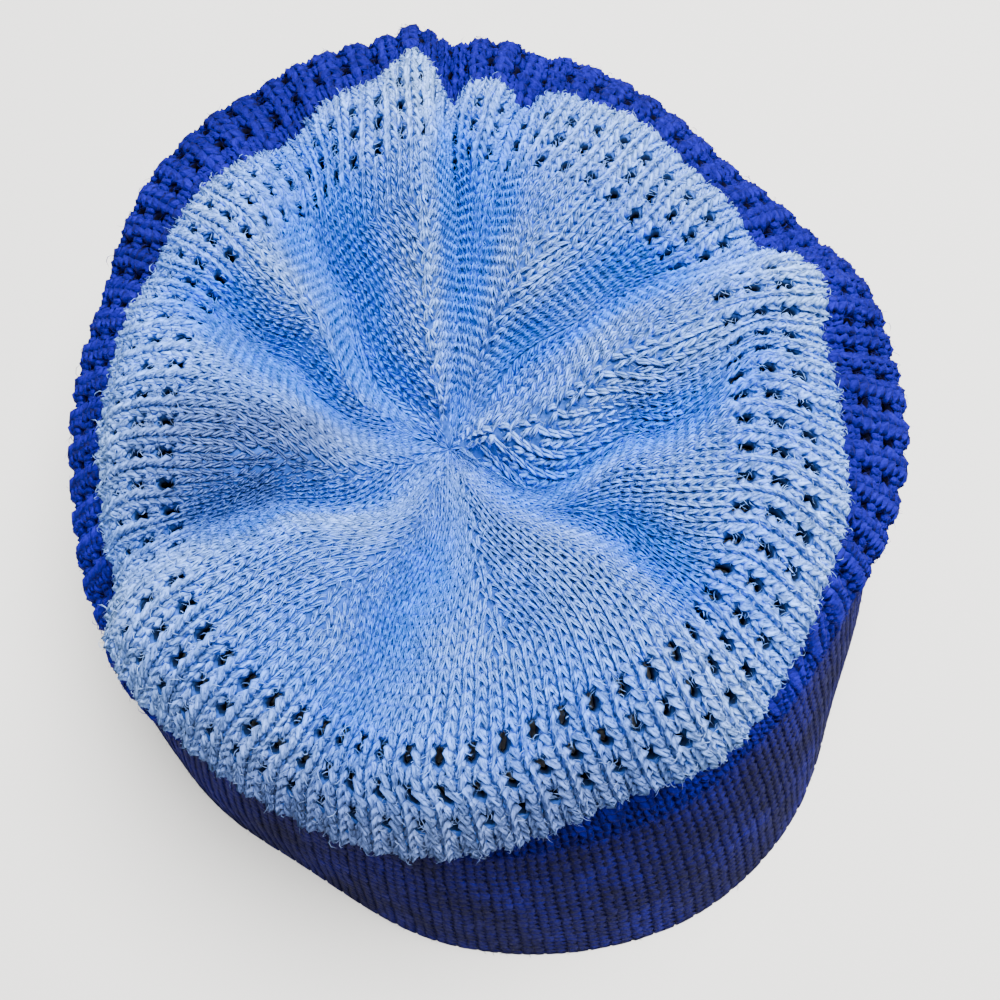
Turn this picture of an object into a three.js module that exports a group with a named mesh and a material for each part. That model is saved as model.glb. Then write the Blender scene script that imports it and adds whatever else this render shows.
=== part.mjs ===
// A knitted beanie standing on its brim, as one hollow wall in three parts: a light blue crown
// gathered to a sunken tip, a royal blue lace wall that bellies out under it, and a royal blue
// brim band on the table. Millimetres, +Z up, origin at the bottom centre of the whole hat.
import * as THREE from 'three';

// ---- driving dimensions -------------------------------------------------------------------
const WALL = 3.0;            // thickness of the bulky knit
const PART_GAP = 0.3;        // clearance where two parts of the wall meet
const TIP_HEIGHT = 53;       // the gathered tip of the crown, sunk below its rim
const TIP_CONE = 1.6;        // how quickly the crown climbs out of the tip (1 is a straight cone)
const STEEP_DEPTH = 0.7;     // extra depth where a fold stands square to the wall, as a share
const AROUND = 104;          // facets round the hat
const CROWN_ROWS = 17;       // facets from tip to colour change
const LACE_ROWS = 5;
const BRIM_ROWS = 4;
const RING_SAMPLES = 720;    // meridians worked out round the hat
const CURVE_STEPS = 6;       // steps of the profile between two of its stations

// Colour of each part
const LIGHT_BLUE = 0x8fb4e6;
const ROYAL_BLUE = 0x2a33a8;

// ---- the hat's outline, seen from the crown's axis ------------------------------------------
// One row every 22.5 degrees, counted from +X towards +Y. Radii and heights of the outer face:
// hem (on the table), waist (top of the band), belly (widest turn of the lace wall, or the fold
// tucked under the crown at the front), edge (where the colour changes) and rim (the crown's top).
const STATION_COLUMNS = [
  'hem_r', 'waist_r', 'waist_z', 'belly_r', 'belly_z', 'edge_r', 'edge_z', 'rim_r', 'rim_z'];
const STATIONS = [
  [91.5, 83.0, 43, 85.5, 54.0, 68.0, 68.0, 50, 74.0],   //   0  right
  [86.5, 83.0, 44, 86.3, 55.0, 69.0, 68.5, 50, 74.0],
  [80.0, 80.0, 44, 82.0, 56.0, 67.0, 68.0, 49, 74.0],   //  45
  [74.0, 80.0, 45, 87.5, 57.0, 70.0, 68.0, 50, 73.0],
  [70.0, 79.0, 45, 89.5, 58.0, 72.0, 67.0, 51, 73.0],   //  90  back
  [67.5, 78.0, 45, 90.0, 57.0, 70.5, 67.0, 50, 73.0],
  [66.5, 75.0, 44, 85.5, 55.0, 65.0, 66.0, 48, 73.0],   // 135
  [68.5, 70.0, 43, 75.5, 52.0, 62.5, 64.5, 46, 73.0],
  [74.0, 70.0, 42, 71.5, 50.0, 59.5, 63.0, 45, 73.0],   // 180  left
  [81.0, 71.0, 42, 71.3, 49.0, 62.5, 62.0, 46, 73.0],
  [81.5, 70.0, 42, 70.5, 49.0, 67.5, 60.0, 49, 72.5],   // 225
  [83.0, 70.0, 41, 66.0, 48.5, 70.0, 58.0, 50, 72.5],
  [92.0, 73.0, 40, 66.5, 48.0, 72.0, 57.5, 50, 73.0],   // 270  front
  [98.0, 75.0, 41, 65.5, 49.5, 69.5, 59.5, 48, 73.0],
  [99.5, 77.5, 43, 69.0, 52.0, 72.0, 62.0, 49, 73.0],   // 315
  [94.0, 80.5, 44, 77.5, 53.0, 69.5, 65.5, 50, 73.5],
];

// The crown's folds, which run from the tip out over the rim. Azimuth and height are given near
// the tip, half way out and at the rim, the half-widths towards smaller and larger azimuths.
// Height is along the wall's normal: above zero a ridge, below zero a valley. A sharpness of 2
// is a round fold and 1 a crease.
const FOLD_COLUMNS = [
  'name', 'az_tip', 'az_mid', 'az_rim', 'h_tip', 'h_mid', 'h_rim', 'w_less', 'w_more', 'sharp'];
const FOLDS = [
  ['ridge_right',          0,  16,  20,  3.5,  7.0,  3.5, 11.0,  9.0, 2.0],
  ['valley_right_back',   52,  40,  31, -4.0, -7.0, -3.5,  5.0,  6.0, 2.0],
  ['ridge_back_right',    66,  62,  58,  2.0,  4.0,  1.5,  8.0,  9.0, 2.0],
  ['valley_back_flap',    78,  79,  78, -2.0, -4.0, -5.0,  3.5,  3.5, 2.0],
  ['crease_back',         86,  88,  90, -4.0, -9.0, -7.0,  2.8,  2.8, 1.3],
  ['ridge_back',         100,  96,  95,  3.0,  5.0,  5.5,  4.0,  6.0, 2.0],
  ['valley_back_left',   146, 127, 118, -5.0, -9.0, -4.5,  7.0,  8.0, 2.0],
  ['ridge_left_back',    160, 139, 136,  3.0,  5.0,  1.0,  6.0,  7.0, 2.0],
  ['valley_left_back',   178, 157, 152, -3.0, -6.5, -1.5,  6.0,  6.0, 2.0],
  ['lobe_left',          202, 182, 180,  1.0,  2.5,  1.5, 12.0, 12.0, 2.0],
  ['valley_left_front',  227, 207, 207, -3.0, -6.5, -1.5,  5.0,  6.0, 2.0],
  ['crest_left_front',   242, 217, 214,  2.0,  4.5,  3.0,  5.0, 15.0, 2.0],
  ['valley_front',       269, 259, 254, -2.0, -3.0,  0.0,  6.0,  7.0, 2.0],
  ['ridge_front_right',  303, 312, 308,  2.0,  4.0,  1.5,  9.0,  7.0, 2.0],
  ['valley_front_right', 311, 324, 321, -2.5, -5.5, -0.5,  5.0,  7.0, 2.0],
  ['lobe_right_front',   318, 337, 346,  0.5,  3.0,  1.5,  9.0, 11.0, 2.0],
  ['valley_right',       324, 357, 373, -3.5, -6.5, -2.5,  6.0,  5.0, 2.0],
];
const FOLD_STOPS = [0.2, 0.5, 0.87];   // tip, middle and rim columns, as shares of the wale
const FOLD_START = 9;                  // the folds grow from nothing over these mm from the tip
const FOLD_FULL_WIDTH = 40;            // radius from which a fold has its full width
const FOLD_END = 0.85;                 // share of the lace wall over which the folds die out

// Soft buckles of the band and lace wall: azimuth, height and half-width in degrees
const BUCKLE_COLUMNS = ['az', 'height', 'half_width'];
const BUCKLES = [
  [ 22,  1.2, 10],
  [ 62, -1.6, 11],
  [ 96,  1.8, 12],
  [133, -1.8, 11],
  [170,  1.6, 11],
  [232,  0.8, 10],
  [301,  0.8, 10],
  [330, -0.9,  9],
];
const BUCKLE_FROM = 1.25;              // v from which they grow, down to the waist

const SHOULDER = { r: 0.68, z: 0.26 }; // turn between rim and edge, as shares of the way
const BAND_BELLY = { at: 0.5, out: 1.2 };

// ---- small helpers --------------------------------------------------------------------------
const radians = (degrees) => degrees * Math.PI / 180;
const clamp01 = (x) => Math.min(1, Math.max(0, x));
const smooth = (x) => clamp01(x) ** 2 * (3 - 2 * clamp01(x));

const degreesBetween = (az, centre) => ((az - centre + 180) % 360 + 360) % 360 - 180;

function hermite(a, b, slopeA, slopeB, t) {
  const t2 = t * t;
  const t3 = t2 * t;
  return a * (2 * t3 - 3 * t2 + 1) + slopeA * (t3 - 2 * t2 + t)
    + b * (3 * t2 - 2 * t3) + slopeB * (t3 - t2);
}

// Row of the outline table at any azimuth, read round the ring as one smooth closed curve
function stationAt(az) {
  const count = STATIONS.length;
  const place = ((az / 360) % 1 + 1) % 1 * count;
  const i = Math.floor(place);
  const row = (k) => STATIONS[(i + k + count) % count];
  const station = {};
  STATION_COLUMNS.forEach((name, c) => {
    const [before, a, b, after] = [row(-1)[c], row(0)[c], row(1)[c], row(2)[c]];
    station[name] = hermite(a, b, (b - before) / 2, (after - a) / 2, place - i);
  });
  return station;
}

// Value through three stops, each column holding towards its own end of the wale
function throughStops(values, v) {
  const [s0, s1, s2] = FOLD_STOPS;
  if (v < s1) return values[0] + (values[1] - values[0]) * smooth((v - s0) / (s1 - s0));
  return values[1] + (values[2] - values[1]) * smooth((v - s1) / (s2 - s1));
}

// ---- the meridian: outer face from the tip (v = 0) by the edge (1) and waist (2) to the hem (3)
function meridianPoints(az) {
  const s = stationAt(az);
  const crown = [];
  const steps = 3 * CURVE_STEPS;
  for (let i = 0; i < steps; i++) {
    const t = i / steps;
    crown.push([s.rim_r * t, TIP_HEIGHT + (s.rim_z - TIP_HEIGHT) * (1 - (1 - t) ** TIP_CONE)]);
  }
  const turn = [s.rim_r + (s.edge_r - s.rim_r) * SHOULDER.r,
    s.rim_z + (s.edge_z - s.rim_z) * SHOULDER.z];
  const band = [s.hem_r + (s.waist_r - s.hem_r) * BAND_BELLY.at + BAND_BELLY.out,
    s.waist_z * BAND_BELLY.at];
  const knots = [[s.rim_r, s.rim_z], turn, [s.edge_r, s.edge_z], [s.belly_r, s.belly_z],
    [s.waist_r, s.waist_z], band, [s.hem_r, 0]];
  const slopes = knots.map((p, i) => {
    if (i === 0) return [turn[0] - p[0], 0];
    const next = knots[Math.min(i + 1, knots.length - 1)];
    const last = knots[i - 1];
    return [(next[0] - last[0]) / 2, (next[1] - last[1]) / 2];
  });
  const points = [...crown];
  const stops = { edge: 0, waist: 0 };
  for (let k = 0; k + 1 < knots.length; k++) {
    if (k === 2) stops.edge = points.length;
    if (k === 4) stops.waist = points.length;
    for (let i = 0; i < CURVE_STEPS; i++) {
      const t = i / CURVE_STEPS;
      points.push([0, 1].map((c) =>
        hermite(knots[k][c], knots[k + 1][c], slopes[k][c], slopes[k + 1][c], t)));
    }
  }
  points.push(knots[knots.length - 1]);
  return { points, stops };
}

// The same curve measured along its length, so that v moves evenly along crown, wall and band
function meridian(az) {
  const { points, stops } = meridianPoints(az);
  const length = [0];
  for (let i = 1; i < points.length; i++) {
    length.push(length[i - 1] + Math.hypot(points[i][0] - points[i - 1][0],
      points[i][1] - points[i - 1][1]));
  }
  const bounds = [0, length[stops.edge], length[stops.waist], length[length.length - 1]];
  function at(v) {
    const part = Math.min(2, Math.max(0, Math.floor(v)));
    const target = bounds[part] + (bounds[part + 1] - bounds[part]) * (v - part);
    let i = 1;
    while (i < points.length - 1 && length[i] < target) i++;
    const t = (target - length[i - 1]) / (length[i] - length[i - 1]);
    return [points[i - 1][0] + (points[i][0] - points[i - 1][0]) * t,
      points[i - 1][1] + (points[i][1] - points[i - 1][1]) * t];
  }
  return { at, bounds };
}

const MERIDIANS = Array.from({ length: RING_SAMPLES }, (_, i) => meridian(i * 360 / RING_SAMPLES));

function alongMeridian(az, v) {
  const place = ((az / 360) % 1 + 1) % 1 * RING_SAMPLES;
  const i = Math.floor(place);
  const a = MERIDIANS[i % RING_SAMPLES].at(v);
  const b = MERIDIANS[(i + 1) % RING_SAMPLES].at(v);
  return [a[0] + (b[0] - a[0]) * (place - i), a[1] + (b[1] - a[1]) * (place - i)];
}

// Outward normal of the smooth meridian, as [radial, up]. It turns level at the hem, so that the
// hem's lower face lies flat on the table.
function meridianNormal(az, v) {
  const step = 0.03;
  const a = alongMeridian(az, Math.max(0.001, v - step));
  const b = alongMeridian(az, Math.min(3, v + step));
  let n = [-(b[1] - a[1]), b[0] - a[0]];
  const level = smooth(v - 2);
  const size = Math.hypot(n[0], n[1]);
  n = [n[0] / size * (1 - level) + level, n[1] / size * (1 - level)];
  const unit = Math.hypot(n[0], n[1]);
  return [n[0] / unit, n[1] / unit];
}

function foldHeight(az, v, r) {
  const grow = smooth(r / FOLD_START) * (1 - smooth((v - 1) / FOLD_END));
  const width = 0.45 + 0.55 * clamp01(r / FOLD_FULL_WIDTH);
  let height = 0;
  for (const row of FOLDS) {
    const fold = Object.fromEntries(FOLD_COLUMNS.map((name, i) => [name, row[i]]));
    const centre = throughStops([fold.az_tip, fold.az_mid, fold.az_rim], v);
    const across = radians(degreesBetween(az, centre)) * r;
    const half = (across < 0 ? fold.w_less : fold.w_more) * width;
    const share = Math.exp(-(Math.abs(across / half) ** fold.sharp));
    height += throughStops([fold.h_tip, fold.h_mid, fold.h_rim], v) * share;
  }
  return height * grow;
}

function buckleHeight(az, v) {
  const [atAz, atHeight, atWidth] = BUCKLE_COLUMNS.map((_, i) => i);
  const sum = BUCKLES.reduce((height, row) => {
    const turn = degreesBetween(az, row[atAz]);
    return height + row[atHeight] * Math.exp(-((turn / row[atWidth]) ** 2));
  }, 0);
  return sum * smooth((v - BUCKLE_FROM) / (2 - BUCKLE_FROM));
}

// Point of the outer face
function outerPoint(az, v) {
  const [r, z] = alongMeridian(az, v);
  const [nr, nz] = meridianNormal(az, v);
  const h = foldHeight(az, v, r) + buckleHeight(az, v);
  const angle = radians(az);
  return new THREE.Vector3((r + nr * h) * Math.cos(angle), (r + nr * h) * Math.sin(angle),
    z + nz * h);
}

// Point of the inner face, one wall thickness in, measured square to the folded face
function innerPoint(az, v) {
  const outer = outerPoint(az, v);
  if (v === 0) return outer.setZ(outer.z - WALL);
  const [nr, nz] = meridianNormal(az, v);
  const angle = radians(az);
  const inward = new THREE.Vector3(-nr * Math.cos(angle), -nr * Math.sin(angle), -nz);
  const turnStep = 1.2;
  const rowStep = 0.02;
  const around = outerPoint(az + turnStep, v).sub(outerPoint(az - turnStep, v));
  const down = outerPoint(az, Math.min(3, v + rowStep)).sub(outerPoint(az, v - rowStep));
  const square = Math.abs(around.cross(down).normalize().dot(inward));
  const depth = WALL * (1 + STEEP_DEPTH * (1 - square));
  return outer.addScaledVector(inward, depth);
}

// Facet lines run along the folds: each gap between two folds is shared out evenly, so that every
// ridge and valley has an edge of its own from the tip to the hem
const FOLD_CENTRES = FOLDS.map((row) => row.slice(1, 4));
const foldCentre = (k, v) => throughStops(FOLD_CENTRES[k % FOLDS.length], v)
  + 360 * Math.floor(k / FOLDS.length);
const GAP_WIDTHS = FOLDS.map((_, k) => foldCentre(k + 1, 0.5) - foldCentre(k, 0.5)
  + foldCentre(k + 1, 1) - foldCentre(k, 1));
const GAP_FACETS = shareOut(AROUND, GAP_WIDTHS);

// Splits a whole number in proportion to the widths, at least two to each
function shareOut(whole, widths) {
  const total = widths.reduce((sum, w) => sum + w, 0);
  let passed = 0;
  let given = 0;
  return widths.map((w) => {
    passed += w;
    const share = Math.max(2, Math.round(whole * passed / total) - given);
    given += share;
    return share;
  });
}

function ringAzimuths(v) {
  return GAP_FACETS.flatMap((facets, k) => {
    const from = foldCentre(k, v);
    const to = foldCentre(k + 1, v);
    return Array.from({ length: facets }, (_, i) => from + (to - from) * i / facets);
  });
}

// ---- one closed solid: outer face, inner face and the cut edges between them -----------------
function wallBetween(vTop, vBottom, rows) {
  const positions = [];
  const indices = [];
  const addPoint = (p) => positions.push(p.x, p.y, p.z) / 3 - 1;
  const addQuad = (a, b, c, d) => indices.push(a, b, c, a, c, d);
  const closedTip = vTop === 0;

  const rings = [];
  for (let row = closedTip ? 1 : 0; row <= rows; row++) {
    const v = vTop + (vBottom - vTop) * row / rows;
    const azimuths = ringAzimuths(v);
    rings.push({
      outer: azimuths.map((az) => addPoint(outerPoint(az, v))),
      inner: azimuths.map((az) => addPoint(innerPoint(az, v))),
    });
  }
  const next = (i) => (i + 1) % AROUND;
  for (let row = 0; row + 1 < rings.length; row++) {
    const a = rings[row];
    const b = rings[row + 1];
    for (let i = 0; i < AROUND; i++) {
      addQuad(a.outer[i], b.outer[i], b.outer[next(i)], a.outer[next(i)]);
      addQuad(a.inner[i], a.inner[next(i)], b.inner[next(i)], b.inner[i]);
    }
  }
  const top = rings[0];
  const bottom = rings[rings.length - 1];
  for (let i = 0; i < AROUND; i++) {
    addQuad(bottom.outer[i], bottom.inner[i], bottom.inner[next(i)], bottom.outer[next(i)]);
    if (!closedTip) addQuad(top.outer[i], top.outer[next(i)], top.inner[next(i)], top.inner[i]);
  }
  if (closedTip) {
    const tipOuter = addPoint(outerPoint(0, 0));
    const tipInner = addPoint(innerPoint(0, 0));
    for (let i = 0; i < AROUND; i++) {
      indices.push(tipOuter, top.outer[i], top.outer[next(i)]);
      indices.push(tipInner, top.inner[next(i)], top.inner[i]);
    }
  }
  const geometry = new THREE.BufferGeometry();
  geometry.setAttribute('position', new THREE.Float32BufferAttribute(positions, 3));
  geometry.setIndex(indices);
  geometry.computeVertexNormals();
  return geometry;
}

function knitMesh(name, colour, geometry) {
  const material = new THREE.MeshStandardMaterial({ color: colour, roughness: 0.95, metalness: 0 });
  const mesh = new THREE.Mesh(geometry, material);
  mesh.name = name;
  return mesh;
}

// ---- the three parts, with half of the clearance taken from each side of a joint --------------
const CROWN_LENGTH = MERIDIANS[0].bounds[1];
const LACE_LENGTH = 20;      // shortest run of the lace wall, under the front
const BRIM_LENGTH = 45;
const beanie = new THREE.Group();
beanie.add(
  knitMesh('crown', LIGHT_BLUE,
    wallBetween(0, 1 - PART_GAP / 2 / CROWN_LENGTH, CROWN_ROWS)),
  knitMesh('lace_wall', ROYAL_BLUE,
    wallBetween(1 + PART_GAP / 2 / LACE_LENGTH, 2 - PART_GAP / 2 / LACE_LENGTH, LACE_ROWS)),
  knitMesh('brim_band', ROYAL_BLUE,
    wallBetween(2 + PART_GAP / 2 / BRIM_LENGTH, 3, BRIM_ROWS)),
);

// The crown's axis stands off the middle of the hat: the origin is moved to the bottom centre
const box = new THREE.Box3().setFromObject(beanie);
const middle = box.getCenter(new THREE.Vector3());
beanie.position.set(-middle.x, -middle.y, -box.min.z);

export default beanie;
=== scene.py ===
"""A knitted beanie standing on its brim: a light blue crown gathered to a sunken tip, with rounds
of eyelets near its edge, a royal blue lace wall that bellies out under it, and a royal blue plain
knit band on the table. Every stitch is a V of two legs of yarn, laid out flat by wale and row and
wrapped on the cloth by Geometry Nodes. Blender units are metres; the tables below are millimetres
and degrees, as the CAD part's own are."""
import math
from dataclasses import dataclass

import bmesh
import bpy
import numpy as np
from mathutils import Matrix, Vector


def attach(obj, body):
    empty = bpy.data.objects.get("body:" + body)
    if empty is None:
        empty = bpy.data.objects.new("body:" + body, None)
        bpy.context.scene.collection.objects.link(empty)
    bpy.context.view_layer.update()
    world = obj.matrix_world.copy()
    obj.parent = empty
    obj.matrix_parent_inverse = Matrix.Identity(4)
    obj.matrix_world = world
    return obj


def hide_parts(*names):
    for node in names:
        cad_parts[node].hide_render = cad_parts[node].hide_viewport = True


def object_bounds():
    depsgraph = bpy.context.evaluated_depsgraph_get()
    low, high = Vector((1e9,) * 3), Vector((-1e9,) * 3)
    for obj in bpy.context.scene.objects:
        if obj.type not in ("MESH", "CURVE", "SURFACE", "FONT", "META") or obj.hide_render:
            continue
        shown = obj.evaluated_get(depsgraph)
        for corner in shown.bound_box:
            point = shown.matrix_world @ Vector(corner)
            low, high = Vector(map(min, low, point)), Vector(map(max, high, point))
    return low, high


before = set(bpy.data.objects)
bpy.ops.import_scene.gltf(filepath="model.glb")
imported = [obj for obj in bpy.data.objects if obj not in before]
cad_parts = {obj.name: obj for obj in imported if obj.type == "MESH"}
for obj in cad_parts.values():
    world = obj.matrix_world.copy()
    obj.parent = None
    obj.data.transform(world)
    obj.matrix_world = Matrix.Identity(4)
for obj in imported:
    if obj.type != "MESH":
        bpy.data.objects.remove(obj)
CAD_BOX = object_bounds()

MM = 0.001

# ---- the hat's form, as the CAD part has it ----------------------------------------------------
WALL = 3.0                   # thickness of the bulky knit
TIP_HEIGHT = 53.0            # the gathered tip of the crown, sunk below its rim
TIP_CONE = 1.6               # how quickly the crown climbs out of the tip

# The outline in mm, a row every 22.5 degrees about the crown's axis, from +X towards +Y
STATION_COLUMNS = (
    "hem_r", "waist_r", "waist_z", "belly_r", "belly_z", "edge_r", "edge_z", "rim_r", "rim_z")
STATIONS = np.array((
    (91.5, 83.0, 43, 85.5, 54.0, 68.0, 68.0, 50, 74.0),   # right
    (86.5, 83.0, 44, 86.3, 55.0, 69.0, 68.5, 50, 74.0),
    (80.0, 80.0, 44, 82.0, 56.0, 67.0, 68.0, 49, 74.0),
    (74.0, 80.0, 45, 87.5, 57.0, 70.0, 68.0, 50, 73.0),
    (70.0, 79.0, 45, 89.5, 58.0, 72.0, 67.0, 51, 73.0),   # back
    (67.5, 78.0, 45, 90.0, 57.0, 70.5, 67.0, 50, 73.0),
    (66.5, 75.0, 44, 85.5, 55.0, 65.0, 66.0, 48, 73.0),
    (68.5, 70.0, 43, 75.5, 52.0, 62.5, 64.5, 46, 73.0),
    (74.0, 70.0, 42, 71.5, 50.0, 59.5, 63.0, 45, 73.0),   # left
    (81.0, 71.0, 42, 71.3, 49.0, 62.5, 62.0, 46, 73.0),
    (81.5, 70.0, 42, 70.5, 49.0, 67.5, 60.0, 49, 72.5),
    (83.0, 70.0, 41, 66.0, 48.5, 70.0, 58.0, 50, 72.5),
    (92.0, 73.0, 40, 66.5, 48.0, 72.0, 57.5, 50, 73.0),   # front
    (98.0, 75.0, 41, 65.5, 49.5, 69.5, 59.5, 48, 73.0),
    (99.5, 77.5, 43, 69.0, 52.0, 72.0, 62.0, 49, 73.0),
    (94.0, 80.5, 44, 77.5, 53.0, 69.5, 65.5, 50, 73.5),
))

# The crown's folds: azimuth and height near the tip, half way out and at the rim, half-widths in
# mm towards smaller and larger azimuths, and sharpness (2 is a round fold, 1 a crease)
FOLD_COLUMNS = (
    "az_tip", "az_mid", "az_rim", "h_tip", "h_mid", "h_rim", "w_less", "w_more", "sharp")
FOLDS = {
    "ridge_right":        (  0,  16,  20,  3.5,  7.0,  3.5, 11.0,  9.0, 2.0),
    "valley_right_back":  ( 52,  40,  31, -4.0, -7.0, -3.5,  5.0,  6.0, 2.0),
    "ridge_back_right":   ( 66,  62,  58,  2.0,  4.0,  1.5,  8.0,  9.0, 2.0),
    "valley_back_flap":   ( 78,  79,  78, -2.0, -4.0, -5.0,  3.5,  3.5, 2.0),
    "crease_back":        ( 86,  88,  90, -4.0, -9.0, -7.0,  2.8,  2.8, 1.3),
    "ridge_back":         (100,  96,  95,  3.0,  5.0,  5.5,  4.0,  6.0, 2.0),
    "valley_back_left":   (146, 127, 118, -5.0, -9.0, -4.5,  7.0,  8.0, 2.0),
    "ridge_left_back":    (160, 139, 136,  3.0,  5.0,  1.0,  6.0,  7.0, 2.0),
    "valley_left_back":   (178, 157, 152, -3.0, -6.5, -1.5,  6.0,  6.0, 2.0),
    "lobe_left":          (202, 182, 180,  1.0,  2.5,  1.5, 12.0, 12.0, 2.0),
    "valley_left_front":  (227, 207, 207, -3.0, -6.5, -1.5,  5.0,  6.0, 2.0),
    "crest_left_front":   (242, 217, 214,  2.0,  4.5,  3.0,  5.0, 15.0, 2.0),
    "valley_front":       (269, 259, 254, -2.0, -3.0,  0.0,  6.0,  7.0, 2.0),
    "ridge_front_right":  (303, 312, 308,  2.0,  4.0,  1.5,  9.0,  7.0, 2.0),
    "valley_front_right": (311, 324, 321, -2.5, -5.5, -0.5,  5.0,  7.0, 2.0),
    "lobe_right_front":   (318, 337, 346,  0.5,  3.0,  1.5,  9.0, 11.0, 2.0),
    "valley_right":       (324, 357, 373, -3.5, -6.5, -2.5,  6.0,  5.0, 2.0),
}
FOLD_STOPS = (0.2, 0.5, 0.87)          # tip, middle and rim columns, as shares of the wale
FOLD_START = 9.0                       # the folds grow from nothing over these mm from the tip
FOLD_FULL_WIDTH = 40.0                 # radius from which a fold has its full width
FOLD_TIP_WIDTH = 0.45                  # and its share of that at the tip
DEEP_VALLEY = 8.0                      # a valley this deep counts as one in full
FOLD_END = 0.85                        # share of the lace wall over which the folds die out

BUCKLES = (                            # azimuth, height, and half-width in degrees
    (22, 1.2, 10), (62, -1.6, 11), (96, 1.8, 12), (133, -1.8, 11),
    (170, 1.6, 11), (232, 0.8, 10), (301, 0.8, 10), (330, -0.9, 9))
BUCKLE_FROM = 1.25                     # v in the lace wall from which they grow
SHOULDER_R, SHOULDER_Z = 0.68, 0.26    # turn between rim and edge, as shares of the way
BAND_BELLY_AT, BAND_BELLY_OUT = 0.5, 1.2    # the band's middle bulges out by a little
CURVE_STEPS = 12                       # points on each stretch of the outline
CROWN_STEPS = 3 * CURVE_STEPS          # and on the longer one from the tip to the rim
EDGE_KNOT, WAIST_KNOT = 2, 4           # stretches from the rim to the edge and to the waist

# ---- the knitting ------------------------------------------------------------------------------
# Rows are counted from the tip to the hem, wales (columns of stitches) round the hat. v is 0 at
# the tip, 1 at the colour change, 2 at the waist and 3 at the hem.
CROWN_ROWS = 40
LACE_ROWS = 14
BAND_ROWS = 21
EDGE_ROW = CROWN_ROWS
WAIST_ROW = EDGE_ROW + LACE_ROWS
HEM_ROW = WAIST_ROW + BAND_ROWS
ROW_STOPS = (0, EDGE_ROW, WAIST_ROW, HEM_ROW)
V_STOPS = (0, 1, 2, 3)
WALES = 160                            # 80 repeats of the two-stitch lace
BAND_WALES = 128                       # the band is knitted on fewer, wider stitches
SECTORS = 8                            # the crown is decreased along eight lines
SECTOR_WALES = WALES // SECTORS
SHAPED_ROWS = 23                       # rows from the tip over which stitches are decreased
FIRST_DECREASE_AZ = 13                 # azimuth of one decrease line
LEAST_WEDGE = 0.25                     # room beside a decrease line that one more stitch fills
WIDEST_WEDGE = 1.1                     # and that stitch's greatest width, both in stitches
FIRST_LACE_ROW = 28
LAST_PLAIN_ROWS = 2                    # rows above the waist without lace
EYELET_ROWS = (29, 32, 35, 43, 46, 49)
STITCH_WIDTH = 2.9                     # mm, on the flat crown and lace
BAND_DEPTH = 0.18                      # share of a lace stitch's, as the band is stretched flat

# How the wales lie on the folds: each stitch has its open width, and what is left over crowds
# together in the valleys. Past the edge the wales run nearly straight down.
OPEN_WIDTH_V = (0.1, 0.45)
OPEN_WIDTH = (1.9, 2.7)                # mm, at these places between tip and edge
MOST_CROWDED = 1.8                     # most extra stitches in a valley, for each in the open
LEAST_CROWD = 1e-9                     # keeps the sum whole between folds with no valley
MEASURED_FROM = 0.4                    # v from which each fold's own wales are counted
EVEN_FROM, EVEN_AT_EDGE = 0.7, 0.6     # v from which they even out, and how far at the edge
EVEN_AT_HEM = 0.3                      # and below it, how far at the hem
SETTLING_PASSES = 3                    # of turning the even lines to lie beside the others
LINES_PER_WALE = 8                     # lines sampled for each wale

# Relief of the lace, in mm: the plain columns stand proud, the eyelet columns lie low
LACE_PUFF = 0.3
PUFF_STARTS = (FIRST_LACE_ROW - 1.5, FIRST_LACE_ROW + 1)    # rows over which it grows
PUFF_ENDS = (WAIST_ROW - 2, WAIST_ROW + 1)                  # and over which it dies out
EDGE_WAVE = 0.85                       # rows by which the colour change waves out and in
EDGE_WAVE_REACH = 2.2                  # rows from the edge over which the wave dies out
SCALLOP_POWER = 1.8                    # the light lobes are broad and the notches narrow
EDGE_LIP = 1.3                         # how far the light lobes stand out over the royal wall
EDGE_LIP_BETWEEN = 0.35                # and the share of it left in the notches
LIP_ROWS = (EDGE_ROW - 1, 1.5)         # the lip's middle row and the rows it reaches
UNDERCUT = 0.9                         # how far the royal wall is drawn in under the lip
UNDERCUT_ROWS = (EDGE_ROW + 1.2, 1.0)

MARGIN_WALES = 20                      # overlap of the flat cloth past one turn
FLAT_TURN = WALES + 2 * MARGIN_WALES


# ---- small helpers -----------------------------------------------------------------------------
def smooth(x):
    t = np.clip(x, 0, 1)
    return t * t * (3 - 2 * t)


def ramp(x, start, end):
    """From nothing at the start to one at the end."""
    return smooth((x - start) / (end - start))


def hump(x, middle, reach):
    """One in the middle, and dying out on both sides."""
    return np.exp(-((x - middle) / reach) ** 2)


def hermite(a, b, slope_a, slope_b, t):
    t2, t3 = t * t, t * t * t
    return (a * (2 * t3 - 3 * t2 + 1) + slope_a * (t3 - 2 * t2 + t)
            + b * (3 * t2 - 2 * t3) + slope_b * (t3 - t2))


def degrees_between(az, centre):
    return (az - centre + 180) % 360 - 180


def unit(vectors):
    return vectors / np.maximum(np.linalg.norm(vectors, axis=-1, keepdims=True), 1e-12)


# ---- the cloth's surface -----------------------------------------------------------------------
def stations_at(az):
    """Rows of the outline table at any azimuths, read round the ring as one smooth closed curve."""
    place = (az / 360) % 1 * len(STATIONS)
    i = np.floor(place).astype(int)
    before, a, b, after = (STATIONS[(i + k) % len(STATIONS)] for k in (-1, 0, 1, 2))
    values = hermite(a, b, (b - before) / 2, (after - a) / 2, (place - i)[:, None])
    return dict(zip(STATION_COLUMNS, values.T))


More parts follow.
